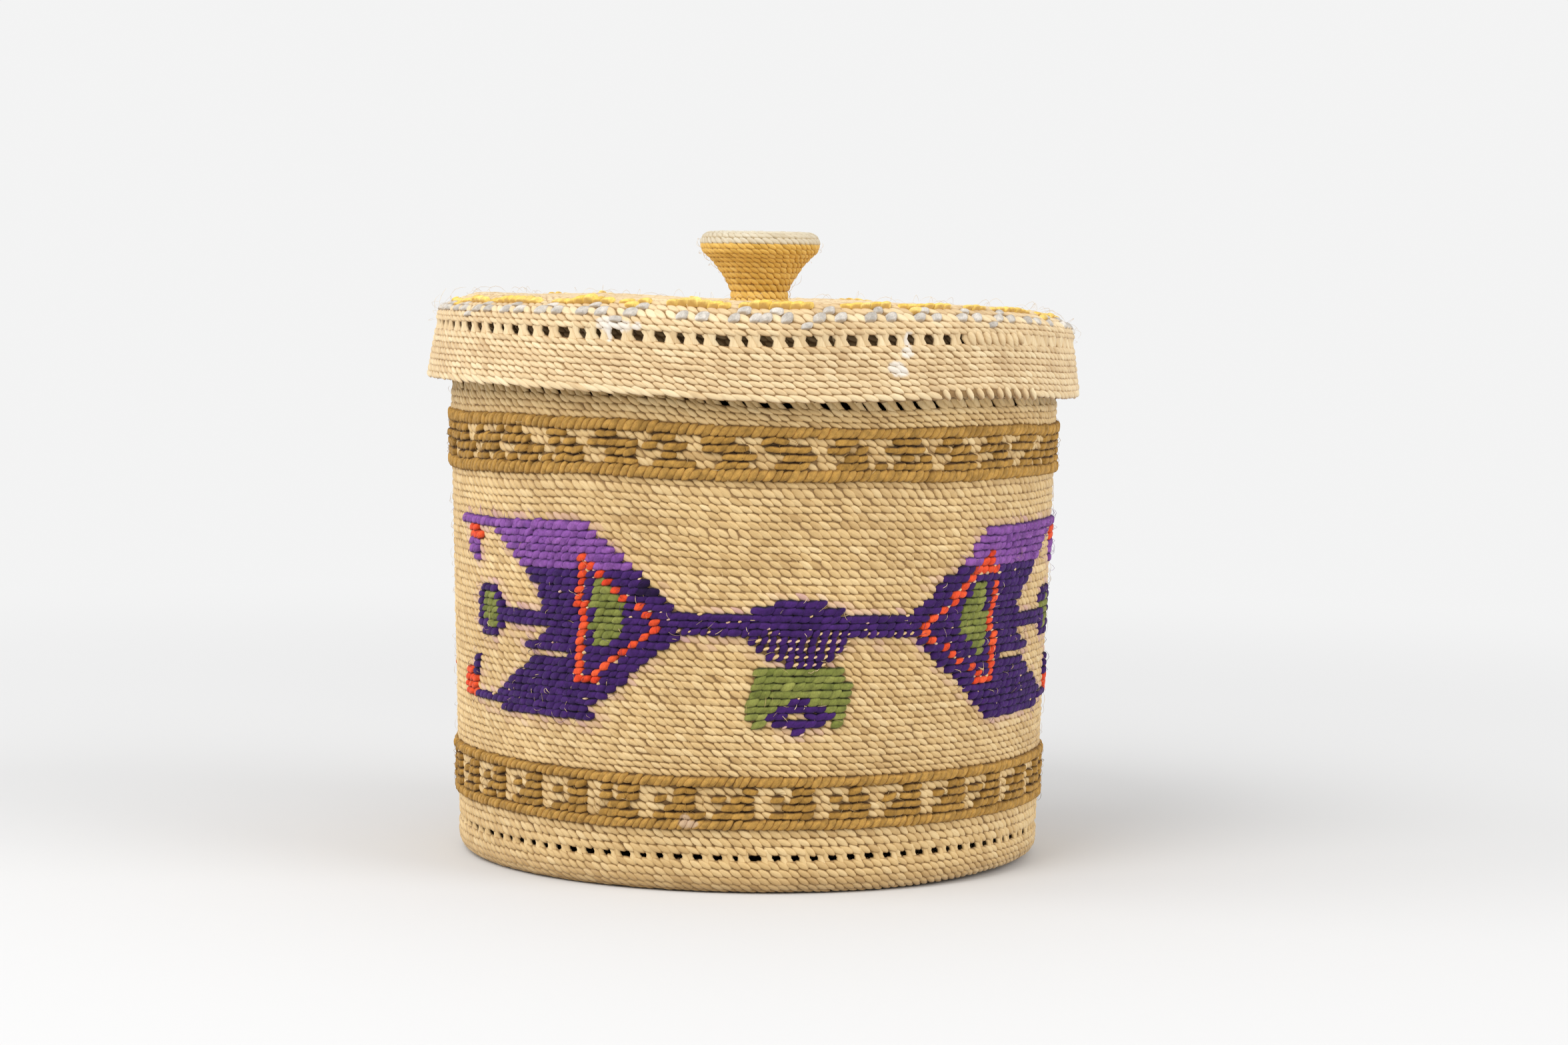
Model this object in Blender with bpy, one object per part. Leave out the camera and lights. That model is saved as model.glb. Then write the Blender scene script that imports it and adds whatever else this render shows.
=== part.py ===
"""A lidded basket twined from grass: a round basket, a lift-off lid with a woven knob, and coloured yarn
laid over the weft courses. Metres, +Z up, origin at the middle of the base, the front towards -Y.

The weft courses are grouped into turned rings, each row of openwork is a ring of bare warps with a real
hole between each two, and each area of coloured yarn is a thin skin outside the wall it is worked on."""

import math

import bmesh
import bpy
from mathutils import Vector
from mathutils.geometry import tessellate_polygon

for old in list(bpy.data.objects):
    bpy.data.objects.remove(old, do_unlink=True)

# Weave
STITCHES = 198  # weft stitches in one course round the wall
FACETS = 66  # flats round each large turned piece, three stitches wide
SMALL_FACETS = 24  # flats round the knob and the middles of base and lid
ROW = 0.001437  # height of one weft course in the field

# Clearances
GAP = 0.0003  # between pieces that touch
SEAT_GAP = 0.0004  # between the rim and the lid that rests on it
LID_FIT = 0.0015  # all round, between the rim and the inside of the lid

# Base and heel
BASE_THICKNESS = 0.0016
START_RADIUS = 0.0090  # the first courses in the middle of the base
HEEL_TURN = 0.0028  # how far inside the wall the flat underside starts to turn up
HEEL_FLAT = 0.0030  # width of the heel's flat ring inside that
HEEL_RISE = 0.0032
HEEL_HEIGHT = 0.0054
HEEL_STEPS = 3

# Wall
WALL_THICKNESS = 0.0016
WALL_FOOT_RADIUS = 0.0588
WALL_TOP_RADIUS = 0.0614
FIELD_BOTTOM = 0.0219  # top edge of the lower brown band
FIELD_ROWS = 39
BAND_HEIGHT = 0.0097  # one line, four check rows and one line
BAND_LINE = 0.0019
PLAIN_ROWS_HEIGHT = 0.0038  # three plain courses between a band and its openwork
BRAID_HEIGHT = 0.0013
BRAID_PROUD = 0.00015  # the braid stands out on both sides of the rim

# Openwork
OPENWORK_THICKNESS = 0.0012
OPENWORK_RAIL = 0.0004  # the solid foot that the bare warps stand on
BODY_OPENWORK_HEIGHT = 0.0019
LID_OPENWORK_HEIGHT = 0.0024
WARP_SHARE = 0.5  # share of each pitch that a bare warp takes
WARP_LEAN = 0.35  # how far a warp's top leans to the left, in pitches

# Lid
LID_TOP = 0.1120
LID_THICKNESS = 0.0016
LID_START_RADIUS = 0.0090
SHOULDER_REACH = 0.0060
SHOULDER_DROP = 0.0042
SHOULDER_STEPS = 4
SHOULDER_SKIRT = 0.0022  # the upright courses below the shoulder's curve
LID_SKIRT_HEIGHT = 0.0076
LID_BRAID_HEIGHT = 0.0013
LID_FLARE = 0.0008  # how much wider the lid is at its edge
COLOURED_COURSE_MARGIN = 2.0  # degrees that a coloured course keeps from each edge of its flat

# Knob
KNOB_FOOT_RADIUS = 0.0060
KNOB_NECK_RADIUS = 0.0058
KNOB_NECK_RISE = 0.0016
KNOB_FLARE_RADIUS = 0.0116
KNOB_STEM_HEIGHT = 0.0087
KNOB_CAP_RADIUS = 0.01215
KNOB_CAP_HEIGHT = 0.0039
KNOB_CAP_DISH = 0.0004
KNOB_CAP_CHAMFER = 0.0010  # across the edge of the cap's top
KNOB_CAP_LIP = 0.0013  # height of the cap's slanted edges, under and on top
KNOB_FLARE_POWER = 1.28  # 1 would be a straight cone
KNOB_FLARE_STEPS = 5

# Coloured yarn
YARN = 0.0005  # how far the laid yarn stands out from its own gap
MOTIF_CENTRE = 5.0  # stitches to the right of the front, to the middle of the motif
MOTIF_REPEATS = {"front": 0, "back": STITCHES // 2}
ROUND_STEPS = 10  # sides of each rounded outline

FIELD_TOP = FIELD_BOTTOM + FIELD_ROWS * ROW
LOWER_BAND_BOTTOM = FIELD_BOTTOM - BAND_HEIGHT
UPPER_BAND_TOP = FIELD_TOP + BAND_HEIGHT
LOWER_OPENWORK_BOTTOM = HEEL_HEIGHT + GAP
WALL_BOTTOM = LOWER_OPENWORK_BOTTOM + BODY_OPENWORK_HEIGHT + GAP
WALL_TOP = UPPER_BAND_TOP + PLAIN_ROWS_HEIGHT
UPPER_OPENWORK_BOTTOM = WALL_TOP + GAP
RIM_BOTTOM = UPPER_OPENWORK_BOTTOM + BODY_OPENWORK_HEIGHT + GAP
STITCH_WIDTH = 2 * math.pi * (WALL_FOOT_RADIUS + WALL_TOP_RADIUS) / 2 / STITCHES

HEEL_FOOT_RADIUS = WALL_FOOT_RADIUS - HEEL_TURN
LID_INNER_RADIUS = WALL_TOP_RADIUS + LID_FIT
LID_RADIUS = LID_INNER_RADIUS + LID_THICKNESS
SHOULDER_RADIUS = LID_RADIUS - SHOULDER_REACH
SHOULDER_BOTTOM = LID_TOP - SHOULDER_DROP


def principled(name, colour, roughness):
    material = bpy.data.materials.new(name)
    material.use_nodes = True
    shader = material.node_tree.nodes["Principled BSDF"]
    shader.inputs["Base Color"].default_value = (*colour, 1.0)
    shader.inputs["Roughness"].default_value = roughness
    shader.inputs["Metallic"].default_value = 0.0
    return material


STRAW = principled("straw", (0.74, 0.54, 0.28), 0.62)
LID_STRAW = principled("lid_straw", (0.78, 0.58, 0.33), 0.62)
OCHRE = principled("ochre_straw", (0.58, 0.33, 0.10), 0.66)
BROWN = principled("brown_yarn", (0.44, 0.24, 0.07), 0.85)
PURPLE = principled("purple_yarn", (0.050, 0.012, 0.160), 0.88)
VIOLET = principled("violet_yarn", (0.200, 0.060, 0.380), 0.88)
ORANGE = principled("orange_yarn", (0.82, 0.085, 0.030), 0.85)
GREEN = principled("green_yarn", (0.25, 0.32, 0.085), 0.86)
YELLOW = principled("yellow_yarn", (0.84, 0.50, 0.06), 0.80)
GREY = principled("grey_yarn", (0.52, 0.51, 0.50), 0.85)


def finish(bm, name, material):
    """Turns the finished mesh into the object of one sub-part."""
    bmesh.ops.recalc_face_normals(bm, faces=bm.faces)
    mesh = bpy.data.meshes.new(name)
    bm.to_mesh(mesh)
    bm.free()
    mesh.shade_smooth()
    mesh.set_sharp_from_angle(angle=math.radians(35))
    mesh.materials.append(material)
    bpy.context.scene.collection.objects.link(bpy.data.objects.new(name, mesh))


def wall_radius(z):
    """Outer radius of the wall, which widens steadily from heel to rim."""
    share = (z - WALL_BOTTOM) / (WALL_TOP - WALL_BOTTOM)
    return WALL_FOOT_RADIUS + share * (WALL_TOP_RADIUS - WALL_FOOT_RADIUS)


def turned(name, profile, material, sides=FACETS):
    """A turned piece from its closed profile of (radius, height) points. Points on the axis close a disc."""
    bm = bmesh.new()
    points = [bm.verts.new((0.0, -radius, z)) for radius, z in profile]
    on_axis = profile[0][0] == 0 and profile[-1][0] == 0
    pairs = list(zip(points, points[1:]))
    if not on_axis:
        pairs.append((points[-1], points[0]))
    edges = [bm.edges.new(pair) for pair in pairs]
    bmesh.ops.spin(
        bm,
        geom=points + edges,
        cent=(0, 0, 0),
        axis=(0, 0, 1),
        angle=2 * math.pi,
        steps=sides,
        use_merge=True,
        use_duplicate=False,
    )
    bmesh.ops.remove_doubles(bm, verts=bm.verts, dist=1e-6)
    finish(bm, name, material)


def band_profile(bottom, top, thickness, radius_at):
    """Profile of a ring that follows a wall between two heights."""
    low, high = radius_at(bottom), radius_at(top)
    return [(low - thickness, bottom), (low, bottom), (high, top), (high - thickness, top)]


def thicken(bm, thickness):
    """Closes an open skin round the Z axis into a solid by pushing a copy of it inwards."""
    made = bmesh.ops.extrude_face_region(bm, geom=bm.faces[:], use_keep_orig=True)
    for vert in (item for item in made["geom"] if isinstance(item, bmesh.types.BMVert)):
        radius = math.hypot(vert.co.x, vert.co.y)
        share = (radius - thickness) / radius
        vert.co.x *= share
        vert.co.y *= share


def openwork(name, bottom, height, radius, material):
    """A ring of bare warps on a thin foot, with a hole between each two. They lean to the left."""
    bm = bmesh.new()
    count = STITCHES // 2
    pitch = 2 * math.pi / count
    top = bottom + height
    foot_top = bottom + OPENWORK_RAIL

    def row(shift, z):
        angles = [(i + shift) * pitch for i in range(count)]
        return [bm.verts.new((radius * math.sin(a), -radius * math.cos(a), z)) for a in angles]

    foot = row(0.0, bottom)
    left = row(0.0, foot_top)
    right = row(WARP_SHARE, foot_top)
    top_left = row(-WARP_LEAN, top)
    top_right = row(WARP_SHARE - WARP_LEAN, top)
    for i in range(count):
        after = (i + 1) % count
        bm.faces.new((foot[i], foot[after], left[after], right[i], left[i]))
        bm.faces.new((left[i], right[i], top_right[i], top_left[i]))
    thicken(bm, OPENWORK_THICKNESS)
    finish(bm, name, material)


def brown_band(name, bottom):
    """Two lines of brown yarn joined by a block on every second flat, with the plain weave between."""
    bm = bmesh.new()
    heights = (bottom, bottom + BAND_LINE, bottom + BAND_HEIGHT - BAND_LINE, bottom + BAND_HEIGHT)
    rows = []
    for z in heights:
        radius = wall_radius(z) + GAP + YARN
        angles = [2 * math.pi * i / FACETS for i in range(FACETS)]
        rows.append([bm.verts.new((radius * math.sin(a), -radius * math.cos(a), z)) for a in angles])
    for low, high, every in ((0, 1, 1), (1, 2, 2), (2, 3, 1)):
        for i in range(0, FACETS, every):
            after = (i + 1) % FACETS
            bm.faces.new((rows[low][i], rows[low][after], rows[high][after], rows[high][i]))
    thicken(bm, YARN)
    finish(bm, name, BROWN)


def on_wall(across, z, out):
    """The point at a distance across from the front, measured round the flats, and out from the wall."""
    flat = across / (STITCH_WIDTH * STITCHES / FACETS)
    index = math.floor(flat + 1e-6)
    share = flat - index
    radius = wall_radius(z) + out
    ends = [
        Vector((radius * math.sin(a), -radius * math.cos(a), z))
        for a in (2 * math.pi * (index + step) / FACETS for step in (0, 1))
    ]
    return ends[0].lerp(ends[1], share)


def yarn_area(name, outline, material, centre, side=1, holes=()):
    """A skin of laid yarn. Its outlines are (stitches from the motif's middle, courses up the field), drawn
    edge to edge with its neighbours', and half a gap comes off all round. Side -1 mirrors it."""
    loops = [
        [Vector(((centre + side * u) * STITCH_WIDTH, FIELD_BOTTOM + row * ROW, 0.0)) for u, row in loop]
        for loop in (outline, *holes)
    ]
    bm = bmesh.new()
    verts = [bm.verts.new(point) for loop in loops for point in loop]
    for corners in tessellate_polygon(loops):
        bm.faces.new([verts[i] for i in corners])
    bmesh.ops.recalc_face_normals(bm, faces=bm.faces)
    bmesh.ops.dissolve_limit(bm, angle_limit=0.01, verts=bm.verts, edges=bm.edges)
    rim = bmesh.ops.inset_region(bm, faces=bm.faces[:], thickness=GAP / 2, use_even_offset=True)
    bmesh.ops.delete(bm, geom=rim["faces"], context="FACES")
    flat_width = STITCH_WIDTH * STITCHES / FACETS
    low = min(vert.co.x for vert in bm.verts)
    high = max(vert.co.x for vert in bm.verts)
    for index in range(math.ceil(low / flat_width), math.floor(high / flat_width) + 1):
        bmesh.ops.bisect_plane(
            bm,
            geom=bm.verts[:] + bm.edges[:] + bm.faces[:],
            dist=1e-6,
            plane_co=(index * flat_width, 0, 0),
            plane_no=(1, 0, 0),
        )
    for vert in bm.verts:
        vert.co = on_wall(vert.co.x, vert.co.y, GAP + YARN)
    thicken(bm, YARN)
    finish(bm, name, material)


def arc(centre, half_width, half_height, start, end, steps):
    """Points on an ellipse between two angles in degrees."""
    angles = [math.radians(start + (end - start) * i / steps) for i in range(steps + 1)]
    return [(centre[0] + half_width * math.cos(a), centre[1] + half_height * math.sin(a)) for a in angles]


def ellipse(centre, half_width, half_height):
    return arc(centre, half_width, half_height, 0, 360, ROUND_STEPS)[:-1]


def shoulder_point(angle, inwards=0.0, outwards=0.0):
    """A point of the lid's shoulder, from 0 degrees at the skirt to 90 at the flat top."""
    change = outwards - inwards
    a = math.radians(angle)
    radius = SHOULDER_RADIUS + (SHOULDER_REACH + change) * math.cos(a)
    return radius, SHOULDER_BOTTOM + (SHOULDER_DROP + change) * math.sin(a)


def shoulder_height_inside(radius):
    """Height of the lid's inside above a point at this radius, under the shoulder."""
    reach = SHOULDER_REACH - LID_THICKNESS
    drop = SHOULDER_DROP - LID_THICKNESS
    across = min(max((radius - SHOULDER_RADIUS) / reach, 0.0), 1.0)
    return SHOULDER_BOTTOM + drop * math.sqrt(1 - across**2)


# Base
turned(
    "base_start",
    [(0.0, 0.0), (START_RADIUS, 0.0), (START_RADIUS, BASE_THICKNESS), (0.0, BASE_THICKNESS)],
    STRAW,
    SMALL_FACETS,
)
base_edge = HEEL_FOOT_RADIUS - HEEL_FLAT
turned(
    "base_courses",
    [
        (START_RADIUS + GAP, 0.0),
        (base_edge - GAP, 0.0),
        (base_edge - GAP, BASE_THICKNESS),
        (START_RADIUS + GAP, BASE_THICKNESS),
    ],
    STRAW,
)
heel_centre = (HEEL_FOOT_RADIUS, HEEL_RISE)
heel_outside = arc(heel_centre, HEEL_TURN, HEEL_RISE, -90, 0, HEEL_STEPS)
heel_inside = [
    (WALL_FOOT_RADIUS - WALL_THICKNESS, HEEL_RISE),
    (HEEL_FOOT_RADIUS, BASE_THICKNESS),
]
turned(
    "heel_courses",
    [(base_edge, 0.0), *heel_outside, (WALL_FOOT_RADIUS, HEEL_HEIGHT)]
    + [(WALL_FOOT_RADIUS - WALL_THICKNESS, HEEL_HEIGHT), *heel_inside, (base_edge, BASE_THICKNESS)],
    STRAW,
)

# Wall
openwork("lower_openwork", LOWER_OPENWORK_BOTTOM, BODY_OPENWORK_HEIGHT, WALL_FOOT_RADIUS, STRAW)
turned("wall_courses", band_profile(WALL_BOTTOM, WALL_TOP, WALL_THICKNESS, wall_radius), STRAW)
openwork("upper_openwork", UPPER_OPENWORK_BOTTOM, BODY_OPENWORK_HEIGHT, WALL_TOP_RADIUS, STRAW)

# Rim, which stands up inside the lid and carries it under its shoulder
braid_radius = WALL_TOP_RADIUS + BRAID_PROUD
rim_top = shoulder_height_inside(braid_radius) - SEAT_GAP
braid_bottom = rim_top - BRAID_HEIGHT
turned(
    "rim_courses",
    band_profile(RIM_BOTTOM, braid_bottom - GAP, WALL_THICKNESS, lambda z: WALL_TOP_RADIUS),
    STRAW,
)
turned(
    "rim_braid",
    band_profile(braid_bottom, rim_top, WALL_THICKNESS + 2 * BRAID_PROUD, lambda z: braid_radius),
    STRAW,
)

# Brown bands
brown_band("lower_brown_band", LOWER_BAND_BOTTOM)
brown_band("upper_brown_band", FIELD_TOP)

# Lid
lid_inside_top = LID_TOP - LID_THICKNESS
turned(
    "lid_start",
    [(0.0, lid_inside_top), (LID_START_RADIUS, lid_inside_top), (LID_START_RADIUS, LID_TOP), (0.0, LID_TOP)],
    LID_STRAW,
    SMALL_FACETS,
)
turned(
    "lid_top_courses",
    [
        (LID_START_RADIUS + GAP, lid_inside_top),
        (SHOULDER_RADIUS - GAP, lid_inside_top),
        (SHOULDER_RADIUS - GAP, LID_TOP),
        (LID_START_RADIUS + GAP, LID_TOP),
    ],
    LID_STRAW,
)
shoulder_angles = [90 * i / SHOULDER_STEPS for i in range(SHOULDER_STEPS + 1)]
lid_shoulder_bottom = SHOULDER_BOTTOM - SHOULDER_SKIRT
turned(
    "lid_shoulder_courses",
    [(LID_INNER_RADIUS, lid_shoulder_bottom), (LID_RADIUS, lid_shoulder_bottom)]
    + [shoulder_point(angle) for angle in shoulder_angles]
    + [shoulder_point(angle, inwards=LID_THICKNESS) for angle in reversed(shoulder_angles)],
    LID_STRAW,
)
lid_openwork_bottom = lid_shoulder_bottom - GAP - LID_OPENWORK_HEIGHT
openwork("lid_openwork", lid_openwork_bottom, LID_OPENWORK_HEIGHT, LID_RADIUS, LID_STRAW)
skirt_top = lid_openwork_bottom - GAP
skirt_bottom = skirt_top - LID_SKIRT_HEIGHT
lid_braid_top = skirt_bottom - GAP
lid_bottom = lid_braid_top - LID_BRAID_HEIGHT


def skirt_radius(z):
    return LID_RADIUS + LID_FLARE * (skirt_top - z) / (skirt_top - lid_bottom)


turned("lid_skirt_courses", band_profile(skirt_bottom, skirt_top, LID_THICKNESS, skirt_radius), LID_STRAW)
turned("lid_edge_braid", band_profile(lid_bottom, lid_braid_top, LID_THICKNESS, skirt_radius), LID_STRAW)

# Coloured courses on the lid's shoulder
grey_angle, yellow_angle, top_angle = shoulder_angles[1:4]
for name, low_angle, high_angle, material in (
    ("lid_grey_course", grey_angle, yellow_angle, GREY),
    ("lid_yellow_course", yellow_angle, top_angle, YELLOW),
):
    start = low_angle + COLOURED_COURSE_MARGIN
    end = high_angle - COLOURED_COURSE_MARGIN
    turned(
        name,
        [shoulder_point(start, outwards=GAP), shoulder_point(start, outwards=GAP + YARN)]
        + [shoulder_point(end, outwards=GAP + YARN), shoulder_point(end, outwards=GAP)],
        material,
    )

# Knob
stem_bottom = LID_TOP + GAP
stem_top = stem_bottom + KNOB_STEM_HEIGHT
neck = stem_bottom + KNOB_NECK_RISE
flare_shares = [i / KNOB_FLARE_STEPS for i in range(KNOB_FLARE_STEPS + 1)]
flare = [
    (
        KNOB_NECK_RADIUS + (KNOB_FLARE_RADIUS - KNOB_NECK_RADIUS) * share**KNOB_FLARE_POWER,
        neck + (stem_top - neck) * share,
    )
    for share in flare_shares
]
turned(
    "knob_stem",
    [(0.0, stem_bottom), (KNOB_FOOT_RADIUS, stem_bottom), *flare, (0.0, stem_top)],
    OCHRE,
    SMALL_FACETS,
)
cap_bottom = stem_top + GAP
cap_top = cap_bottom + KNOB_CAP_HEIGHT
turned(
    "knob_cap",
    [
        (0.0, cap_bottom),
        (KNOB_FLARE_RADIUS, cap_bottom),
        (KNOB_CAP_RADIUS, cap_bottom + KNOB_CAP_LIP),
        (KNOB_CAP_RADIUS, cap_top - KNOB_CAP_LIP),
        (KNOB_CAP_RADIUS - KNOB_CAP_CHAMFER, cap_top),
        (0.0, cap_top - KNOB_CAP_DISH),
    ],
    OCHRE,
    SMALL_FACETS,
)

# The motif, drawn once in stitches out from its middle and courses up the field
WAIST = 12.0  # where the arrows meet the bar
BAR_HALF = 1.9
BAR_ROW = 19.7
MEDALLION_HALF = 4.8
SHAFT_TOP, SHAFT_BOTTOM = 21.0, 18.4
OVAL_CENTRE = (36.7, BAR_ROW)
OVAL_HALF = (2.5, 3.6)
OVAL_HOLE_HALF = (1.4, 2.5)
LOWER_TIP_CENTRE = (42.0, 9.0)
LOWER_TIP_HALF = (1.9, 2.2)
TRIANGLE_BACK = 23.3
TRIANGLE_TOP, TRIANGLE_BOTTOM = 26.8, 10.6
TRIANGLE_POINT = (13.6, 19.1)
FRAME_WIDTH = 1.1  # stitches, up the back of the triangle
FRAME_SLOPE = 2.64  # courses that the frame takes at the foot and top of its back
FRAME_NOSE = 1.76  # stitches that it takes at its point
VIOLET_ROW = 27.4  # the dark yarn gives way to violet above this course

triangle = [(TRIANGLE_BACK, TRIANGLE_BOTTOM), (TRIANGLE_BACK, TRIANGLE_TOP), TRIANGLE_POINT]
inner_back = TRIANGLE_BACK - FRAME_WIDTH
inner_triangle = [
    (inner_back, TRIANGLE_BOTTOM + FRAME_SLOPE),
    (inner_back, TRIANGLE_TOP - FRAME_SLOPE),
    (TRIANGLE_POINT[0] + FRAME_NOSE, TRIANGLE_POINT[1]),
]
green_triangle = [(21.6, 15.2), (21.6, 23.0), (17.4, 20.1), (16.6, 19.1), (17.6, 18.0)]
oval_meet = math.degrees(math.asin((SHAFT_TOP - SHAFT_BOTTOM) / 2 / OVAL_HALF[1]))
oval_outside = arc(OVAL_CENTRE, *OVAL_HALF, 180 - oval_meet, oval_meet - 180, ROUND_STEPS)
oval_hole = ellipse(OVAL_CENTRE, *OVAL_HOLE_HALF)
purple_arrow = (
    [(WAIST, BAR_ROW + BAR_HALF), (17.7, VIOLET_ROW), (31.7, VIOLET_ROW), (26.6, SHAFT_TOP)]
    + oval_outside
    + [(26.4, SHAFT_BOTTOM), (30.5, 15.4), (24.2, 15.4), (24.2, 14.4), (28.9, 14.4), (35.6, 8.4)]
    + [(40.0, 8.4), (40.0, 7.1), (30.8, 6.9), (22.0, 6.4), (22.0, 7.8), (WAIST, BAR_ROW - BAR_HALF)]
)
violet_wing = [(17.7, VIOLET_ROW), (22.5, 32.5), (41.6, 32.1), (41.6, 31.0), (35.4, 31.0), (31.7, VIOLET_ROW)]
upper_tip = [(38.9, 31.0), (40.7, 31.0), (40.7, 29.6), (38.9, 29.6)]
lower_tip = ellipse(LOWER_TIP_CENTRE, *LOWER_TIP_HALF)
medallion_half = [
    (WAIST, BAR_ROW + BAR_HALF),
    (MEDALLION_HALF, BAR_ROW + BAR_HALF),
    (MEDALLION_HALF, 22.6),
    (2.5, 22.6),
    (2.5, 23.7),
]
medallion_foot_half = [(1.8, 14.8), (1.8, 16.0), (4.1, 16.0), (MEDALLION_HALF, BAR_ROW - BAR_HALF)]
medallion_right = medallion_foot_half + [(WAIST, BAR_ROW - BAR_HALF)] + medallion_half
medallion = medallion_right + [(-u, row) for u, row in reversed(medallion_right)]
panel_right = [(0.0, 10.9), (3.9, 7.4), (4.9, 7.4), (4.9, 14.3)]
green_panel = panel_right + [(-u, row) for u, row in reversed(panel_right[1:])]
diamond = [(0.0, 5.4), (3.2, 7.9), (0.0, 10.5), (-3.2, 7.9)]

for place, turn in MOTIF_REPEATS.items():
    middle = MOTIF_CENTRE + turn
    for hand, side in (("left", -1), ("right", 1)):
        prefix = f"{place}_{hand}_"
        yarn_area(prefix + "purple_arrow", purple_arrow, PURPLE, middle, side, (triangle, oval_hole))
        yarn_area(prefix + "violet_wing", violet_wing, VIOLET, middle, side)
        yarn_area(prefix + "orange_triangle", triangle, ORANGE, middle, side, (inner_triangle,))
        yarn_area(prefix + "green_triangle", green_triangle, GREEN, middle, side)
        yarn_area(prefix + "green_oval", oval_hole, GREEN, middle, side)
        yarn_area(prefix + "upper_tip", upper_tip, ORANGE, middle, side)
        yarn_area(prefix + "lower_tip", lower_tip, ORANGE, middle, side)
    yarn_area(f"{place}_purple_medallion", medallion, PURPLE, middle)
    yarn_area(f"{place}_green_panel", green_panel, GREEN, middle)
    yarn_area(f"{place}_purple_diamond", diamond, PURPLE, middle)
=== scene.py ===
"""Looks of the lidded grass basket. Every weft stitch, bare warp and strand of coloured yarn is modelled and
laid along its course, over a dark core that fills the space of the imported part. Metres, +Z up, the front
towards -Y.

A place on the weave is given by its azimuth, 0 at the front and growing to the right seen from there, by its
radius and height, and by the slope that the surface faces: 0 outwards, a quarter turn up, a half turn in."""

import math

import bpy
import numpy as np
from mathutils import Matrix, Vector


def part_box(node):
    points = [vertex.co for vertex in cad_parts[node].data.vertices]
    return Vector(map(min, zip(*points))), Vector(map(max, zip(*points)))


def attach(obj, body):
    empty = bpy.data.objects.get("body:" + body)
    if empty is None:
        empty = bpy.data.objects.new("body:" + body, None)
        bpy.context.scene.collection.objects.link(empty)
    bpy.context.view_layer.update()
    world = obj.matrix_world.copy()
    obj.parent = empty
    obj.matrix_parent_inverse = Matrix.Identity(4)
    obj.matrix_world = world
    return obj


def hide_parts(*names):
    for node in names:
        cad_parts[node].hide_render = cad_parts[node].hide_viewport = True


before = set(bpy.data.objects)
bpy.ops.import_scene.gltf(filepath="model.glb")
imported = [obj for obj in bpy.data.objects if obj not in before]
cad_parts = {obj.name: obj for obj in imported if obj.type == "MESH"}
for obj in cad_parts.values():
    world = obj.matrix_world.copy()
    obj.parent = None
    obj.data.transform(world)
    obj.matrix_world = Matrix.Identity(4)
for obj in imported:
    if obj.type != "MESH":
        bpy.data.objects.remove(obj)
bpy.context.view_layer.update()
random = np.random.default_rng(11)

# Camera, as the photograph was taken
CAMERA_DISTANCE = 0.760
CAMERA_HEIGHT = 0.1221
CAMERA_PITCH, CAMERA_YAW, CAMERA_ROLL = (math.radians(value) for value in (4.175, 0.487, 0.930))
PHOTO_WIDTH = 2352
FOCAL_PIXELS = 5610

# Weave
TURN = 2 * math.pi
STITCHES = 198  # weft stitches in one course round the wall
STITCH_TURN = TURN / STITCHES
STITCH = 0.0019  # width of a stitch, where their number follows the radius
COURSE = 0.00142  # height of a course, where their number follows the length of the surface
THICK = 0.0016  # of the woven wall and the lid's skirt
GRAIN_THICK = 0.00060
GRAIN_SUNK = 0.00052  # how far a stitch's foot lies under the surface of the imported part
CORE_SUNK = 0.00038  # the same for the dark core between the outer and inner stitches
START_RADIUS = 0.0012  # where the courses of base and lid begin
FIELD_ROWS = 39
ROW = 0.001437
PLAIN_ROWS = 3
BAND_ROWS = 6
LINE_HEIGHT = 0.0019  # height of the first course of a band, and of its last

# How much stitches vary in place, width, height and thickness, as shares of one, in spin and in tone
STITCH_SPREADS = (0.05, 0.05, 0.04, 0.06, 0.05)
TONE_SPREAD, COURSE_TONE_SPREAD = 0.17, 0.10
COURSE_STEP, COURSE_STEP_SPREAD = 0.10, 0.14  # how far a course starts past the one before, in stitches
FIELD_HEIGHTS, FIELD_SPREAD = (0.94, 1.06), 0.06  # of the field's courses, from its foot to its top
WALL_UNEVEN = 1.4

# Yarn
YARN_SUNK = 0.00035
YARN_THICK = 0.00096
CHECK_THICK, CHECK_TALL = 0.00108, 0.93
LINE_THICK = 0.00116
LINE_STRANDS = 248
GREY_THICK, YELLOW_THICK = 0.0008, 0.0014
MOTIF_CENTRE = 5.0  # stitches to the right of the front
MOTIF_REPEAT = STITCHES // 2

# How far the courses beside an openwork reach into it
HEEL_OVERHANG, WALL_FOOT_OVERHANG, WALL_TOP_OVERHANG = 0.0006, 0.0007, 0.0004
RIM_OVERHANG, SHOULDER_OVERHANG = 0.0004, 0.0005


def heights(node, below=0.0, above=0.0):
    """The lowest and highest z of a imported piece, with a reach below and above it."""
    (_, _, bottom), (_, _, top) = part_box(node)
    return bottom - below, top + above


def round_radius(node):
    """Outer radius of a turned piece, which has a corner at its front."""
    return -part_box(node)[0][1]


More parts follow.
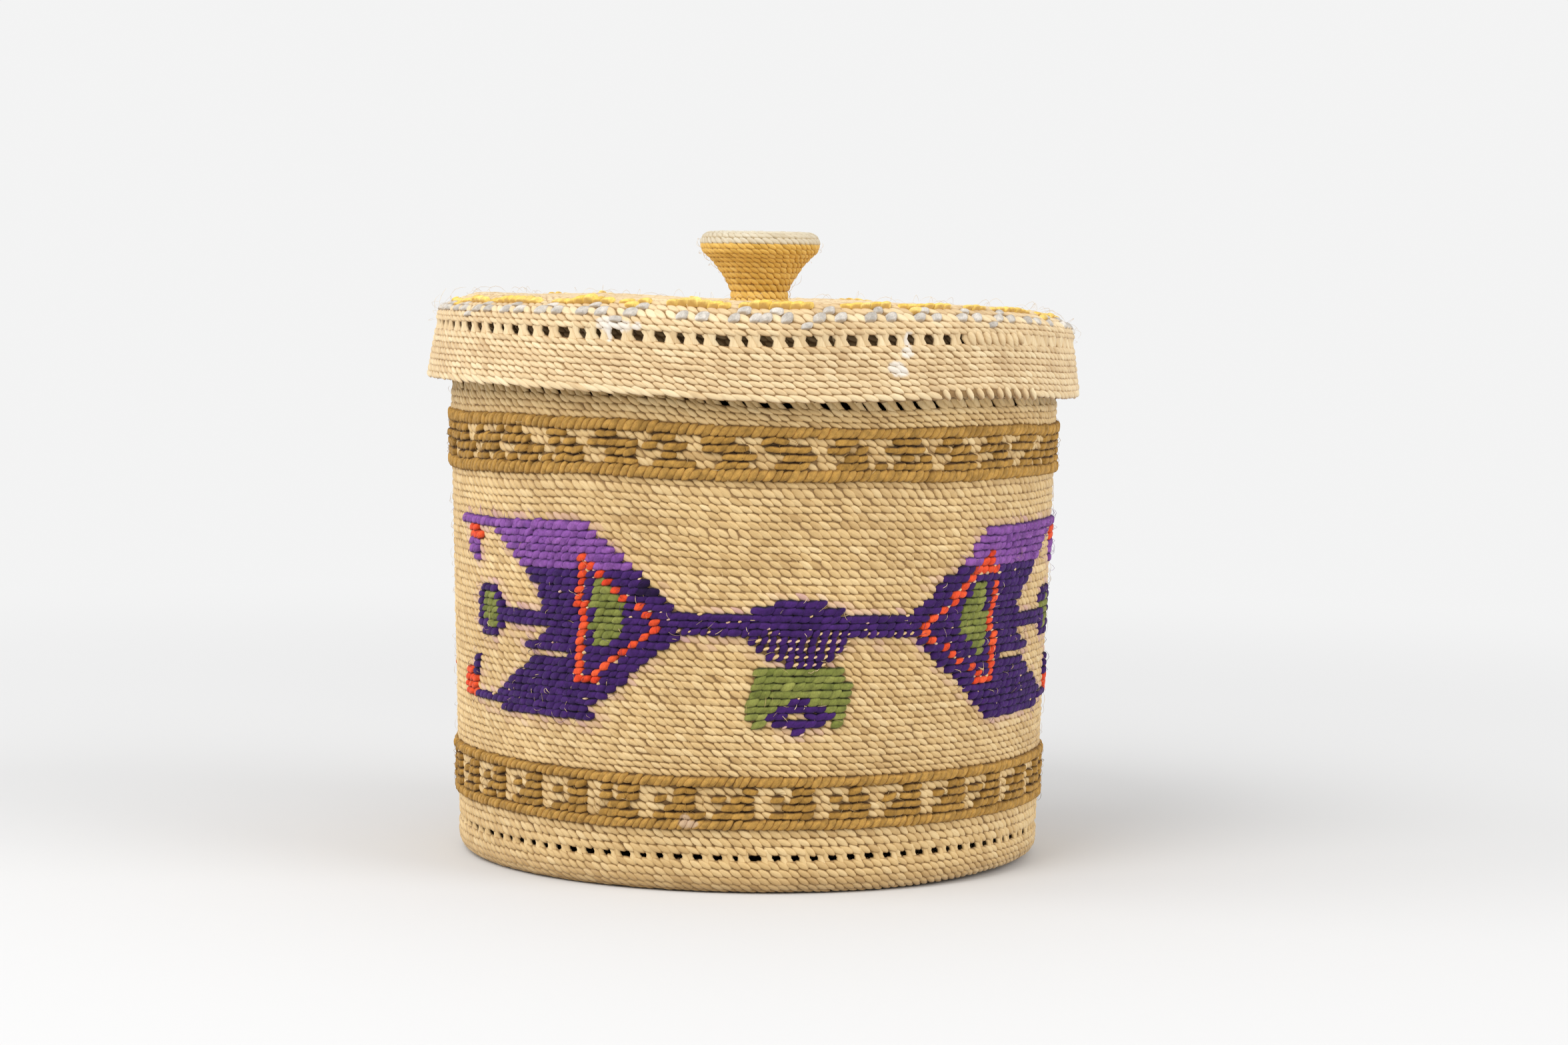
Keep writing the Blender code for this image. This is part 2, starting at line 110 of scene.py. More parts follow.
def make_camera():
    data = bpy.data.cameras.new("camera")
    data.sensor_width = 36
    data.lens = data.sensor_width * FOCAL_PIXELS / PHOTO_WIDTH
    ahead = Vector((math.sin(CAMERA_YAW), math.cos(CAMERA_YAW), 0))
    right = Vector((math.cos(CAMERA_YAW), -math.sin(CAMERA_YAW), 0))
    above = Vector((0, 0, 1))
    look = ahead * math.cos(CAMERA_PITCH) - above * math.sin(CAMERA_PITCH)
    up = ahead * math.sin(CAMERA_PITCH) + above * math.cos(CAMERA_PITCH)
    rolled_right = right * math.cos(CAMERA_ROLL) + up * math.sin(CAMERA_ROLL)
    rolled_up = up * math.cos(CAMERA_ROLL) - right * math.sin(CAMERA_ROLL)
    camera = bpy.data.objects.new("camera", data)
    bpy.context.scene.collection.objects.link(camera)
    turn = Matrix((rolled_right, rolled_up, -look)).transposed()
    camera.matrix_world = Matrix.LocRotScale((0, -CAMERA_DISTANCE, CAMERA_HEIGHT), turn.to_quaternion(), None)
    bpy.context.scene.camera = camera


make_camera()


# Materials
BLACK, WHITE = (0.0, 0.0, 0.0), (1.0, 1.0, 1.0)
ROUGH = 0.9
DYE_RUN = (0.50, 0.26, 0.36)  # grass beside purple yarn, where its dye has run
# Painted shade near the floor: the grass is darker towards the foot of the basket, up to this height and by up
# to this share
FOOT_SHADE, FOOT_SHADE_SHARE, FOOT_SHADE_TOP = (0.62, 0.54, 0.44), 0.75, 0.0055


def add(tree, kind, *sources, **settings):
    """A shader node, its first inputs fed in order by sockets or values."""
    made = tree.nodes.new("ShaderNode" + kind)
    for name, value in settings.items():
        setattr(made, name, value)
    for place, source in enumerate(sources):
        if isinstance(source, bpy.types.NodeSocket):
            tree.links.new(source, made.inputs[place])
        elif source is not None:
            made.inputs[place].default_value = source
    return made


def ramp(tree, source, *stops):
    made = add(tree, "ValToRGB", source)
    elements = made.color_ramp.elements
    while len(elements) < len(stops):
        elements.new(0.5)
    for element, (position, colour) in zip(elements, stops):
        element.position = position
        element.color = (*colour, 1)
    return made.outputs[0]


def mix(tree, share, first, second, blend="MIX"):
    made = add(tree, "Mix", data_type="RGBA", blend_type=blend)
    for name, source in (("Factor_Float", share), ("A_Color", first), ("B_Color", second)):
        socket = next(s for s in made.inputs if s.identifier == name)
        if isinstance(source, bpy.types.NodeSocket):
            tree.links.new(source, socket)
        else:
            socket.default_value = source if name == "Factor_Float" else (*source, 1)
    return next(s for s in made.outputs if s.identifier == "Result_Color")


def streaks(tree, along, across, detail=3.0):
    """Fine lines along each strand, from its own map in millimetres."""
    strand = add(tree, "UVMap", uv_map="strand").outputs[0]
    stretched = add(tree, "Mapping", strand, None, None, (along, across, 1.0)).outputs[0]
    return add(tree, "TexNoise", stretched, None, 1.0, detail, 0.6, noise_dimensions="2D").outputs[0]


def object_place(tree):
    return add(tree, "TexCoord").outputs["Object"]


def value_of(tree, name):
    return add(tree, "Attribute", attribute_name=name).outputs["Fac"]


def patches(tree, scale):
    return add(tree, "TexNoise", object_place(tree), None, scale, 2.0, 0.5).outputs[0]


def darken(tree, share, tint, source, *stops):
    """Multiplies the tint by a share of a ramp over the source."""
    return mix(tree, share, tint, ramp(tree, source, *stops), "MULTIPLY")


def new_material(name, roughness, sheen=0.0, sheen_roughness=0.5):
    material = bpy.data.materials.new(name)
    material.use_nodes = True
    shader = material.node_tree.nodes["Principled BSDF"]
    shader.inputs["Roughness"].default_value = roughness
    shader.inputs["Sheen Weight"].default_value = sheen
    shader.inputs["Sheen Roughness"].default_value = sheen_roughness
    return material.node_tree, shader, material


def shade_strands(tree, shader, tint, shade, edges, bump, depth, lines):
    """Fades the tint to a painted shade at the edges of each strand, where it sinks into the creases between
    its neighbours, and adds a bump of lines.
    """
    deep = ramp(tree, value_of(tree, "edge"), (edges[0], BLACK), (edges[1], WHITE))
    tree.links.new(mix(tree, deep, tint, shade), shader.inputs["Base Color"])
    bumped = add(tree, "Bump", bump, depth, None, lines)
    tree.links.new(bumped.outputs[0], shader.inputs["Normal"])


def grass(name, dark, middle, light, shade, roughness=0.55):
    """Split grass: a tint for each stitch, fine lines along it, dye that has run, painted shade that darkens it
    towards the foot of the basket, and painted shade in its edges, where stitches meet."""
    tree, shader, material = new_material(name, roughness, 0.14, 0.45)
    tint = ramp(tree, value_of(tree, "tone"), (0.0, dark), (0.45, middle), (1.0, light))
    lines = streaks(tree, 0.35, 3.2)
    tint = darken(tree, 0.55, tint, patches(tree, 55.0), (0.30, (0.80, 0.76, 0.70)), (0.62, WHITE))
    tint = darken(tree, 0.5, tint, lines, (0.28, (0.78, 0.72, 0.62)), (0.55, WHITE))
    tint = mix(tree, value_of(tree, "dye"), tint, DYE_RUN)
    # painted shade, darker towards the foot of the basket
    height = add(tree, "SeparateXYZ", object_place(tree)).outputs["Z"]
    foot_shaded = add(tree, "MapRange", height, 0.0, FOOT_SHADE_TOP, FOOT_SHADE_SHARE, 0.0).outputs[0]
    tint = mix(tree, foot_shaded, tint, FOOT_SHADE, "MULTIPLY")
    # painted shade in the creases where stitches meet, and a bump of the lines
    shade_strands(tree, shader, tint, shade, (0.42, 0.86), 0.25, 0.00010, lines)
    return material


def yarn(name, dark, light, shade, edges=(0.30, 0.68)):
    """Soft twisted yarn: fibres along the slant of each stitch."""
    tree, shader, material = new_material(name, ROUGH, 0.08, 0.5)
    shader.inputs["Specular IOR Level"].default_value = 0.15
    tint = ramp(tree, value_of(tree, "tone"), (0.0, shade), (0.10, dark), (1.0, light))
    fibres = streaks(tree, 1.6, 4.5, 4.0)
    tint = darken(tree, 0.55, tint, fibres, (0.25, (0.62,) * 3), (0.65, (1.12,) * 3))
    tint = darken(tree, 0.70, tint, patches(tree, 750.0), (0.32, (0.62,) * 3), (0.62, (1.15,) * 3))
    # painted shade at the edges of each strand, where the rows meet
    shade_strands(tree, shader, tint, shade, edges, 0.5, 0.00020, fibres)
    return material


def plain(name, colour, second):
    """The warps between the stitches, dark as painted shade in the gaps where they show, in two tones."""
    tree, shader, material = new_material(name, ROUGH)
    tree.links.new(mix(tree, patches(tree, 900.0), colour, second), shader.inputs["Base Color"])
    return material


# Painted shade: the rim's outer weft is darker, standing for the shade under the lid that shows through the
# lid's openings.
RIM_STRAW_IN_PAINTED_SHADE = grass(
    "rim_weft", (0.34, 0.21, 0.085), (0.44, 0.29, 0.13), (0.54, 0.38, 0.19), (0.17, 0.09, 0.03))
STRAW = grass(
    "straw_weft", (0.52, 0.335, 0.130), (0.67, 0.465, 0.205), (0.78, 0.59, 0.31), (0.29, 0.165, 0.052))
LID_STRAW = grass(
    "lid_weft", (0.60, 0.42, 0.215), (0.74, 0.555, 0.31), (0.83, 0.68, 0.425), (0.38, 0.22, 0.09))
OCHRE = grass(
    "knob_weft", (0.63, 0.375, 0.055), (0.80, 0.505, 0.105), (0.86, 0.59, 0.165), (0.46, 0.27, 0.06), 0.7)
LIP_STRAW = grass(
    "knob_lip_weft", (0.54, 0.455, 0.31), (0.63, 0.55, 0.40), (0.68, 0.62, 0.485), (0.45, 0.345, 0.195), 0.7)
BROWN = yarn("brown_yarn", (0.33, 0.175, 0.035), (0.50, 0.28, 0.066), (0.07, 0.030, 0.006), (0.22, 0.58))
BROWN_LINE = yarn(
    "brown_line_yarn", (0.32, 0.17, 0.036), (0.48, 0.27, 0.066), (0.12, 0.055, 0.012), (0.40, 0.90))
PURPLE = yarn("purple_yarn", (0.036, 0.010, 0.090), (0.062, 0.018, 0.140), (0.010, 0.003, 0.024))
VIOLET = yarn("violet_yarn", (0.18, 0.058, 0.27), (0.30, 0.11, 0.39), (0.06, 0.018, 0.11))
ORANGE = yarn("orange_yarn", (0.68, 0.05, 0.015), (0.88, 0.12, 0.035), (0.22, 0.02, 0.01))
GREEN = yarn("green_yarn", (0.155, 0.175, 0.036), (0.275, 0.285, 0.070), (0.03, 0.035, 0.008))
YELLOW = yarn("yellow_yarn", (0.84, 0.54, 0.09), (0.95, 0.70, 0.22), (0.52, 0.30, 0.08))
GREY = yarn("grey_yarn", (0.50, 0.455, 0.40), (0.70, 0.65, 0.58), (0.36, 0.27, 0.18))
# Painted shade: the warps and the knob's filling are darkened to stand for the shade in the gaps between
# stitches.
CORE = plain("shaded_warps", (0.23, 0.135, 0.050), (0.34, 0.205, 0.085))
KNOB_CORE = plain("knob_filling", (0.36, 0.20, 0.05), (0.46, 0.27, 0.08))


# Shape of the body and of the lid, which aren't quite round or level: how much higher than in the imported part
# the courses at some heights lie, in millimetres at these turns from the front, and straight between them
TURNS = (-90, -70, -55, -45, -35, -25, -15, -5, 5, 15, 25, 35, 45, 55, 70, 90)
BASKET_RISE = {
    0.0: (0, 0, 0, 0, 0, 0, 0, 0, 0, 0, 0, 0.1, 0.4, 0.7, 0.8, 0.6),
    0.0066: (0.2, 0.1, 0, 0, 0, 0.2, 0.3, 0.4, 0.4, 0.4, 0.5, 0.5, 0.4, 0.3, 0.3, 0.3),
    0.0131: (-0.3, -0.3, -0.1, -0.2, -0.3, -0.3, -0.1, 0.1, 0.3, 0.3, 0.3, 0.3, 0.3, 0.5, 0.6, 0.5),
    0.0209: (0.6, 0.7, 0.7, 0.7, 0.6, 0.4, 0.4, 0.6, 0.7, 0.7, 0.7, 0.8, 0.9, 0.9, 1.2, 0.9),
    0.0502: (0.7, 0.8, 0.8, 1.0, 1.1, 1.3, 1.2, 1.0, 1.1, 1.0, 0.8, 0.6, 0.6, 0.7, 0.8, 0.8),
    0.0789: (-0.2, 0.0, 0.4, 0.7, 1.1, 1.3, 1.1, 0.9, 0.8, 0.8, 0.8, 0.7, 0.7, 0.7, 0.6, 0.5),
    0.0867: (1.4, 1.7, 1.9, 2.0, 2.1, 2.2, 1.9, 1.4, 1.2, 1.3, 1.3, 1.3, 1.4, 1.2, 0.8, 0.6),
    0.0920: (1.4, 1.6, 1.9, 2.1, 2.3, 2.3, 1.9, 0.9, 0.4, 0.4, 0.4, 0.5, 0.6, 0.6, 0.5, 0.4),
    0.1090: (0.4, 0.4, 0.4, 0.4, 0.3, 0.2, 0.1, 0, 0, 0, 0, -0.2, -0.4, -0.7, -1.2, -1.4),
}
LID_RISE = {
    0.0934: (2.2, 2.3, 2.3, 2.2, 1.9, 1.6, 1.1, 0.5, 0.3, 0.5, 0.8, 1.3, 1.5, 1.1, 0.3, 0.1),
    0.1040: (2.3, 2.3, 2.3, 2.1, 1.9, 1.8, 1.5, 1.0, 1.0, 1.4, 1.6, 1.7, 1.8, 1.5, 0.8, 0.0),
    0.1090: (1.0, 1.2, 1.4, 1.5, 1.6, 1.6, 1.2, 0.7, 0.8, 1.1, 1.3, 1.3, 1.2, 0.8, -0.3, -1.3),
    0.1108: (0.8, 0.8, 0.8, 0.8, 0.9, 1.3, 1.3, 0.9, 1.0, 1.2, 1.3, 1.2, 0.9, 0.5, -0.7, -1.5),
    0.1120: (0.9, 0.9, 0.9, 0.9, 0.9, 0.9, 0.8, 0.7, 0.7, 0.7, 0.7, 0.5, 0.2, -0.2, -1.1, -1.7),
}
TOP_DISH, KNOB_RISE = -0.0009, 0.0005  # how far the middle of the top and the knob's cap have moved
LEFT_FLARE, RIGHT_FLARE = 0.0009, 0.0004  # how far the lid's edge stands out on each side
LEFT_SLUMP = 0.0006  # how far the lid's shoulder has sunk on the left
BODY_HEIGHT = 0.1


def rise(table, azimuth, z):
    """Looks up how much higher each point lies."""
    turns = np.degrees(azimuth)
    levels = np.array(list(table))
    values = np.stack([np.interp(turns, TURNS, row, period=360) for row in table.values()])
    place = np.interp(z, levels, np.arange(len(levels)))
    below = np.minimum(place.astype(int), len(levels) - 2)
    share = place - below
    found = np.take_along_axis(values, below[None], 0)[0] * (1 - share)
    found += np.take_along_axis(values, below[None] + 1, 0)[0] * share
    return found * 0.001


def basket_shape(points):
    """The body leans out of round towards its rim, and its courses wander a little."""
    x, y, z = points[..., 0], points[..., 1], points[..., 2]
    azimuth = np.arctan2(x, -y)
    share = np.clip(z / BODY_HEIGHT, 0, 1)
    swell = 1 + share * (0.0022 * np.sin(2 * azimuth + 0.6) + 0.0013 * np.sin(5 * azimuth + 2.0))
    wander = 0.00012 * np.sin(7 * azimuth + z * 160) + 0.00010 * np.sin(13 * azimuth - z * 210)
    at_back = 0.0003 * np.clip(-np.cos(azimuth), 0, 1) * np.sin(6 * azimuth + z * 120)
    outer = np.clip(np.hypot(x, y) / 0.055, 0, 1) ** 2
    z = z + outer * rise(BASKET_RISE, azimuth, z) + share * (wander + at_back)
    return np.stack((x * swell, y * swell, z), -1)


def lid_shape(points):
    """The lid sits a little askew, with a wavy edge and a soft top."""
    x, y, z = points[..., 0], points[..., 1], points[..., 2]
    azimuth = np.arctan2(x, -y)
    outer = np.clip(np.hypot(x, y) / 0.060, 0, 1) ** 3
    spread = outer * np.clip((0.106 - z) / 0.012, 0, 1)
    side = np.sin(azimuth)
    flare = spread * (LEFT_FLARE * np.clip(-side, 0, 1) ** 2 + RIGHT_FLARE * np.clip(side, 0, 1) ** 2)
    swell = 1 + flare / 0.065 + outer * 0.0012 * np.sin(5 * azimuth + 0.4)
    at_back = 0.0004 * np.clip(-np.cos(azimuth), 0, 1) * np.sin(7 * azimuth + 0.5)
    middle = np.interp(z, (0.1122, 0.1185), (TOP_DISH, KNOB_RISE))
    lift = outer * (rise(LID_RISE, azimuth, z) + at_back) + (1 - outer) * middle
    corner = np.exp(-(((np.hypot(x, y) - 0.0605) / 0.0028) ** 2)) * np.clip((z - 0.107) / 0.003, 0, 1)
    lift = lift - LEFT_SLUMP * corner * np.clip(-side, 0, 1) ** 6
    return np.stack((x * swell, y * swell, z + lift), -1)


SHAPES = {"basket": basket_shape, "lid": lid_shape}


def start_edit():
    bpy.ops.object.mode_set(mode="EDIT")
    bpy.ops.mesh.select_all(action="SELECT")


def finish_edit():
    """Turns all faces outwards and leaves edit mode."""
    bpy.ops.mesh.select_all(action="SELECT")
    bpy.ops.mesh.normals_make_consistent(inside=False)
    bpy.ops.object.mode_set(mode="OBJECT")


# One stitch of each kind, modelled as an open shell whose rim lies in the core
class Pattern:
    """Points of a modelled stitch: across and up in stitches and courses, out as a share of its thickness."""

    def __init__(self, outline, rings, lifts, slant, side_edge=1.0, tilt=0.0):
        sides = len(outline)
        bpy.ops.mesh.primitive_circle_add(vertices=sides, radius=rings[0], fill_type="TRIFAN")
        stitch = bpy.context.object
        start_edit()
        bpy.ops.mesh.select_mode(type="EDGE")
        for inner, outer in zip(rings, rings[1:]):
            bpy.ops.mesh.select_all(action="DESELECT")
            bpy.ops.mesh.select_non_manifold()
            bpy.ops.mesh.extrude_edges_move()
            bpy.ops.transform.resize(value=(outer / inner,) * 3)
        finish_edit()
        mesh = stitch.data
        self.disc = np.array([vert.co.xy for vert in mesh.vertices])
        reach = np.hypot(*self.disc.T)
        place = np.arctan2(self.disc[:, 1], self.disc[:, 0]) / TURN * sides
        corner = np.round(place).astype(int) % sides
        self.flat = np.array(outline)[corner] * reach[:, None]
        self.lift = np.interp(reach, (0, *rings), (1, *lifts)) + tilt * self.disc[:, 0]
        # edge: how near each point lies to the stitch's rim, which the materials darken as painted shade in the
        # creases; a side_edge under one keeps it weaker at the sides
        self.edge = (self.disc[:, 0] * side_edge) ** 2 + self.disc[:, 1] ** 2
        self.slant = math.radians(slant)
        up = mesh.polygons[0].normal.z > 0
        self.faces = flatten([list(face.vertices)[::1 if up else -1] for face in mesh.polygons])
        self.triangles = int(sum(self.faces[1] - 2))
        bpy.data.objects.remove(stitch, do_unlink=True)


def flatten(faces):
    """The corners of all the faces in a row, and how many each face has."""
    return np.array([index for face in faces for index in face]), np.array([len(face) for face in faces])


def lens(sides, length, height, power, climb, lean):
    """A rounded outline in stitches and courses: pointed for a power under 2 and boxy above it. Its length
    climbs, and its height leans."""
    outline = []
    for angle in np.arange(sides) * TURN / sides:
        x = math.copysign(abs(math.cos(angle)) ** (2 / power), math.cos(angle)) * length / 2
        y = math.copysign(abs(math.sin(angle)) ** (2 / power), math.sin(angle)) * height / 2
        outline.append((x + lean * y, y + climb * x))
    return outline


GRAIN_SHAPE = (1.42, 1.24, 2.35, -0.26, -0.46)
FLAT_RINGS = (0.64, 1.0), (0.78, -0.05)
GRAIN = Pattern(lens(12, *GRAIN_SHAPE), (0.46, 0.78, 1.0), (0.92, 0.66, -0.05), -32, 0.82, 0.12)
TOP_GRAIN = Pattern(lens(8, *GRAIN_SHAPE), (0.50, 0.80, 1.0), (0.88, 0.58, -0.05), -32, 0.82, 0.12)
SMALL_GRAIN = Pattern(lens(8, *GRAIN_SHAPE), *FLAT_RINGS, -32)
INSIDE_GRAIN = Pattern(lens(6, *GRAIN_SHAPE), *FLAT_RINGS, -32)
STRAND = Pattern(lens(12, 1.60, 1.30, 2.2, 0.06, 0.40), (0.50, 0.80, 1.0), (0.95, 0.74, 0.0), 58, 0.30, 0.06)
LINE = Pattern(lens(12, 1.50, 1.22, 2.4, 0.10, 0.70), (0.50, 0.80, 1.0), (0.93, 0.70, 0.0), 52, 0.50, 0.10)
DOT = Pattern(lens(8, 1.35, 1.0, 2.2, 0.34, 0.20), (0.64, 1.0), (0.82, 0.0), 30)

SPOT = np.dtype([(name, float) for name in (
    "azimuth", "radius", "z", "slope", "wide", "tall", "thick", "sunk", "spin", "tone", "dye")])
STRAND_SHIFT = 90  # millimetres that the streaks are moved by, at most, from stitch to stitch


def build_mesh(name, points, corners, sizes, maps, values):
    """A mesh from arrays, with its named maps and point values."""
    mesh = bpy.data.meshes.new(name)
    mesh.vertices.add(len(points))
    mesh.vertices.foreach_set("co", points.ravel())
    mesh.loops.add(len(corners))
    mesh.loops.foreach_set("vertex_index", corners)
    mesh.polygons.add(len(sizes))
    mesh.polygons.foreach_set("loop_start", np.concatenate(([0], np.cumsum(sizes)[:-1])))
    mesh.update(calc_edges=True)
    mesh.shade_smooth()
    for map_name, flat in maps.items():
        layer = mesh.uv_layers.new(name=map_name)
        layer.uv.foreach_set("vector", flat[corners].ravel())
    for value_name, value in values.items():
        mesh.attributes.new(value_name, "FLOAT", "POINT").data.foreach_set("value", value)
    return mesh


def settle(piece, material, body, slot, *stands_for):
    """Gives a piece its material and its body, and hides the solids that it stands for. The slot is not used.
    """
    piece.data.materials.append(material)
    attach(piece, body)
    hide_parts(*stands_for)


def join_copies(name, points, faces, flat, strand, values, material, body, slot, *stands_for):
    """One piece of many copies of a shape: their points, the shape's faces, the place of its points in a cell
    of the bake, their places along and across the streaks in millimetres, and their values."""
    count, size = points.shape[:2]
    columns = math.ceil(math.sqrt(count))
    cell = np.stack((np.arange(count) % columns, np.arange(count) // columns), -1)[:, None]
    corners = (faces[0] + size * np.arange(count)[:, None]).ravel()
    maps = {"strand": strand.reshape(-1, 2), "OFBake": ((cell + flat) / columns).reshape(-1, 2)}
    values = {key: np.broadcast_to(value, (count, size)).ravel() for key, value in values.items()}
    points = SHAPES[body](points).reshape(-1, 3)
    mesh = build_mesh(name, points, corners, np.tile(faces[1], count), maps, values)
    piece = bpy.data.objects.new(name, mesh)
    bpy.context.scene.collection.objects.link(piece)
    settle(piece, material, body, slot, *stands_for)


def turned(radius, azimuth, z):
    return np.stack((radius * np.sin(azimuth), -radius * np.cos(azimuth), z), -1)


def on_surface(spots, x, y, out):
    """Points at distances along, across and out from spots on the weave."""
    slope, radius = spots["slope"], spots["radius"]
    reach = radius - np.sin(slope) * y + np.cos(slope) * out
    z = spots["z"] + np.cos(slope) * y + np.sin(slope) * out
    return turned(reach, spots["azimuth"] + x / radius, z)


def lay(name, pattern, spots, *look):
    """Copies a stitch to each spot and makes them one piece. The look is its material, body and slot, and the
    solids that it stands for."""
    spots = spots[:, None]
    across = pattern.flat[:, 0] * spots["wide"]
    along = pattern.flat[:, 1] * spots["tall"]
    spin = np.cos(spots["spin"]), np.sin(spots["spin"])
    x = across * spin[0] - along * spin[1]
    y = across * spin[1] + along * spin[0]
    out = pattern.lift * spots["thick"] - spots["sunk"]
    shift = random.random((2, len(spots), 1)) * STRAND_SHIFT
    slant = math.cos(pattern.slant), math.sin(pattern.slant)
    strand = np.stack((
        (x * slant[0] + y * slant[1]) * 1000 + shift[0],
        (y * slant[0] - x * slant[1]) * 1000 + shift[1],
    ), -1)
    values = {"tone": spots["tone"], "edge": pattern.edge}
    if spots["dye"].any():
        values["dye"] = spots["dye"]
    flat = 0.5 + 0.44 * pattern.disc
    join_copies(name, on_surface(spots, x, y, out), pattern.faces, flat, strand, values, *look)


PIECE_TRIANGLES = 190000


def lay_many(name, pattern, spots, *look):
    """The same in as many pieces as their triangles need."""
    parts = math.ceil(len(spots) * pattern.triangles / PIECE_TRIANGLES)
    for number, share in enumerate(np.array_split(spots, parts), 1):
        lay(f"{name}_{number}" if parts > 1 else name, pattern, share, *look)


def vary(spread, spots, middle=0.0):
    """A random value for each spot."""
    return random.normal(middle, spread, len(spots))


# Courses
def resample(profile, rows, height):
    """Splits a profile of (radius, z) points into rows, by their number, the places of their bounds or else
    their height, and gives the middle, slope and height of each."""
    profile = np.array(profile)
    steps = np.hypot(*np.diff(profile, axis=0).T)
    reach = np.concatenate(([0], np.cumsum(steps)))
    if rows is None:
        rows = max(1, round(reach[-1] / height))
    bounds = np.arange(rows + 1) if np.isscalar(rows) else rows
    bounds = bounds / bounds[-1] * reach[-1]
    ends = np.stack([np.interp(bounds, reach, profile[:, side]) for side in (0, 1)], -1)
    middles = (bounds[1:] + bounds[:-1]) / 2
    middle = np.stack([np.interp(middles, reach, profile[:, side]) for side in (0, 1)], -1)
    run = np.diff(ends, axis=0)
    return middle, np.arctan2(-run[:, 0], run[:, 1]), np.hypot(*run.T)


def courses(profile, rows=None, stitches=None, uneven=1.0, width=STITCH, height=COURSE):
    """Spots for all the stitches of the courses that cover a profile."""
    made = []
    turn = random.random()
    for (radius, z), slope, tall in zip(*resample(profile, rows, height)):
        count = stitches or max(6, round(TURN * radius / width))
        turn += COURSE_STEP + random.normal(0, COURSE_STEP_SPREAD)
        spots = np.zeros(count, SPOT)
        place, wide, high, thick, spin = (vary(spread * uneven, spots) for spread in STITCH_SPREADS)
        spots["azimuth"] = (np.arange(count) + turn + place) * TURN / count % TURN
        spots["radius"] = radius
        spots["z"] = z
        spots["slope"] = slope
        spots["wide"] = TURN * radius / count * (1 + wide)
        spots["tall"] = tall * (1 + high)
        spots["thick"] = GRAIN_THICK * (1 + thick)
        spots["sunk"] = GRAIN_SUNK
        spots["spin"] = spin
        tone = vary(TONE_SPREAD, spots, 0.5) + random.normal(0, COURSE_TONE_SPREAD)
        spots["tone"] = np.clip(tone, 0, 1)
        made.append(spots)
    return np.concatenate(made)


def offset(profile, depth):
    """A profile moved to the left of its direction, into the material."""
    profile = np.array(profile, float)
    run = np.gradient(profile, axis=0)
    run /= np.hypot(*run.T)[:, None]
    return profile + np.stack((-run[:, 1], run[:, 0]), -1) * depth


def core(name, outside, inside, sides, material, body, slot, *stands_for):
    """The filling between the outer and inner stitches, dark as painted shade where it shows in the gaps, from
    an outer profile and an inner one that comes back to its start. A profile that begins on the axis makes a
    closed disc."""
    line = np.concatenate((offset(outside, CORE_SUNK), offset(inside, CORE_SUNK)))
    bpy.ops.mesh.primitive_circle_add(vertices=sides, radius=line[0][0], location=(0, 0, line[0][1]))
    start_edit()
    bpy.ops.mesh.select_mode(type="VERT")
    for before, after in zip(line, line[1:]):
        bpy.ops.mesh.extrude_edges_move()
        share = after[0] / before[0]
        bpy.ops.transform.resize(value=(share, share, 1), center_override=(0, 0, 0))
        bpy.ops.transform.translate(value=(0, 0, after[1] - before[1]))
    bpy.ops.mesh.select_all(action="DESELECT")
    bpy.ops.mesh.select_non_manifold()
    bpy.ops.mesh.bridge_edge_loops()
    finish_edit()
    bpy.ops.object.transform_apply(location=True, rotation=True, scale=True)
    piece = bpy.context.object
    piece.name = name
    mesh = piece.data
    mesh.name = name
    places = np.empty(len(mesh.vertices) * 3)
    mesh.vertices.foreach_get("co", places)
    mesh.vertices.foreach_set("co", SHAPES[body](places.reshape(-1, 3)).ravel())
    mesh.shade_smooth()
    settle(piece, material, body, slot, *stands_for)


# Looks: material, body and slot, with the solids to follow
CORE_SIDES = 132
BASKET_CORE = (CORE_SIDES, CORE, "basket", "straw")
LID_CORE = (CORE_SIDES, CORE, "lid", "lid_straw")
ON_BASKET = (STRAW, "basket", "straw")
ON_LID = (LID_STRAW, "lid", "lid_straw")
ON_KNOB = (OCHRE, "lid", "ochre_straw")
IN_BROWN, IN_BROWN_LINE = (BROWN, "basket", "brown_yarn"), (BROWN_LINE, "basket", "brown_yarn")
IN_PURPLE, IN_VIOLET = (PURPLE, "basket", "purple_yarn"), (VIOLET, "basket", "violet_yarn")
IN_ORANGE, IN_GREEN = (ORANGE, "basket", "orange_yarn"), (GREEN, "basket", "green_yarn")

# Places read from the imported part
wall_low, wall_high = heights("wall_courses", WALL_FOOT_OVERHANG, WALL_TOP_OVERHANG)
foot_radius, rim_radius = round_radius("heel_courses"), round_radius("rim_courses")
band_low, band_high = heights("lower_brown_band"), heights("upper_brown_band")
heel_top = heights("heel_courses", 0.0, HEEL_OVERHANG)[1]


def wall_radius(z):
    share = (z - wall_low) / (wall_high - wall_low)
    return foot_radius + share * (rim_radius - foot_radius)


def upright(*levels):
    return [(wall_radius(z), z) for z in levels]


def back(profile, depth):
    """The same profile on the inner side, the other way round."""
    return [(radius - depth, z) for radius, z in reversed(profile)]


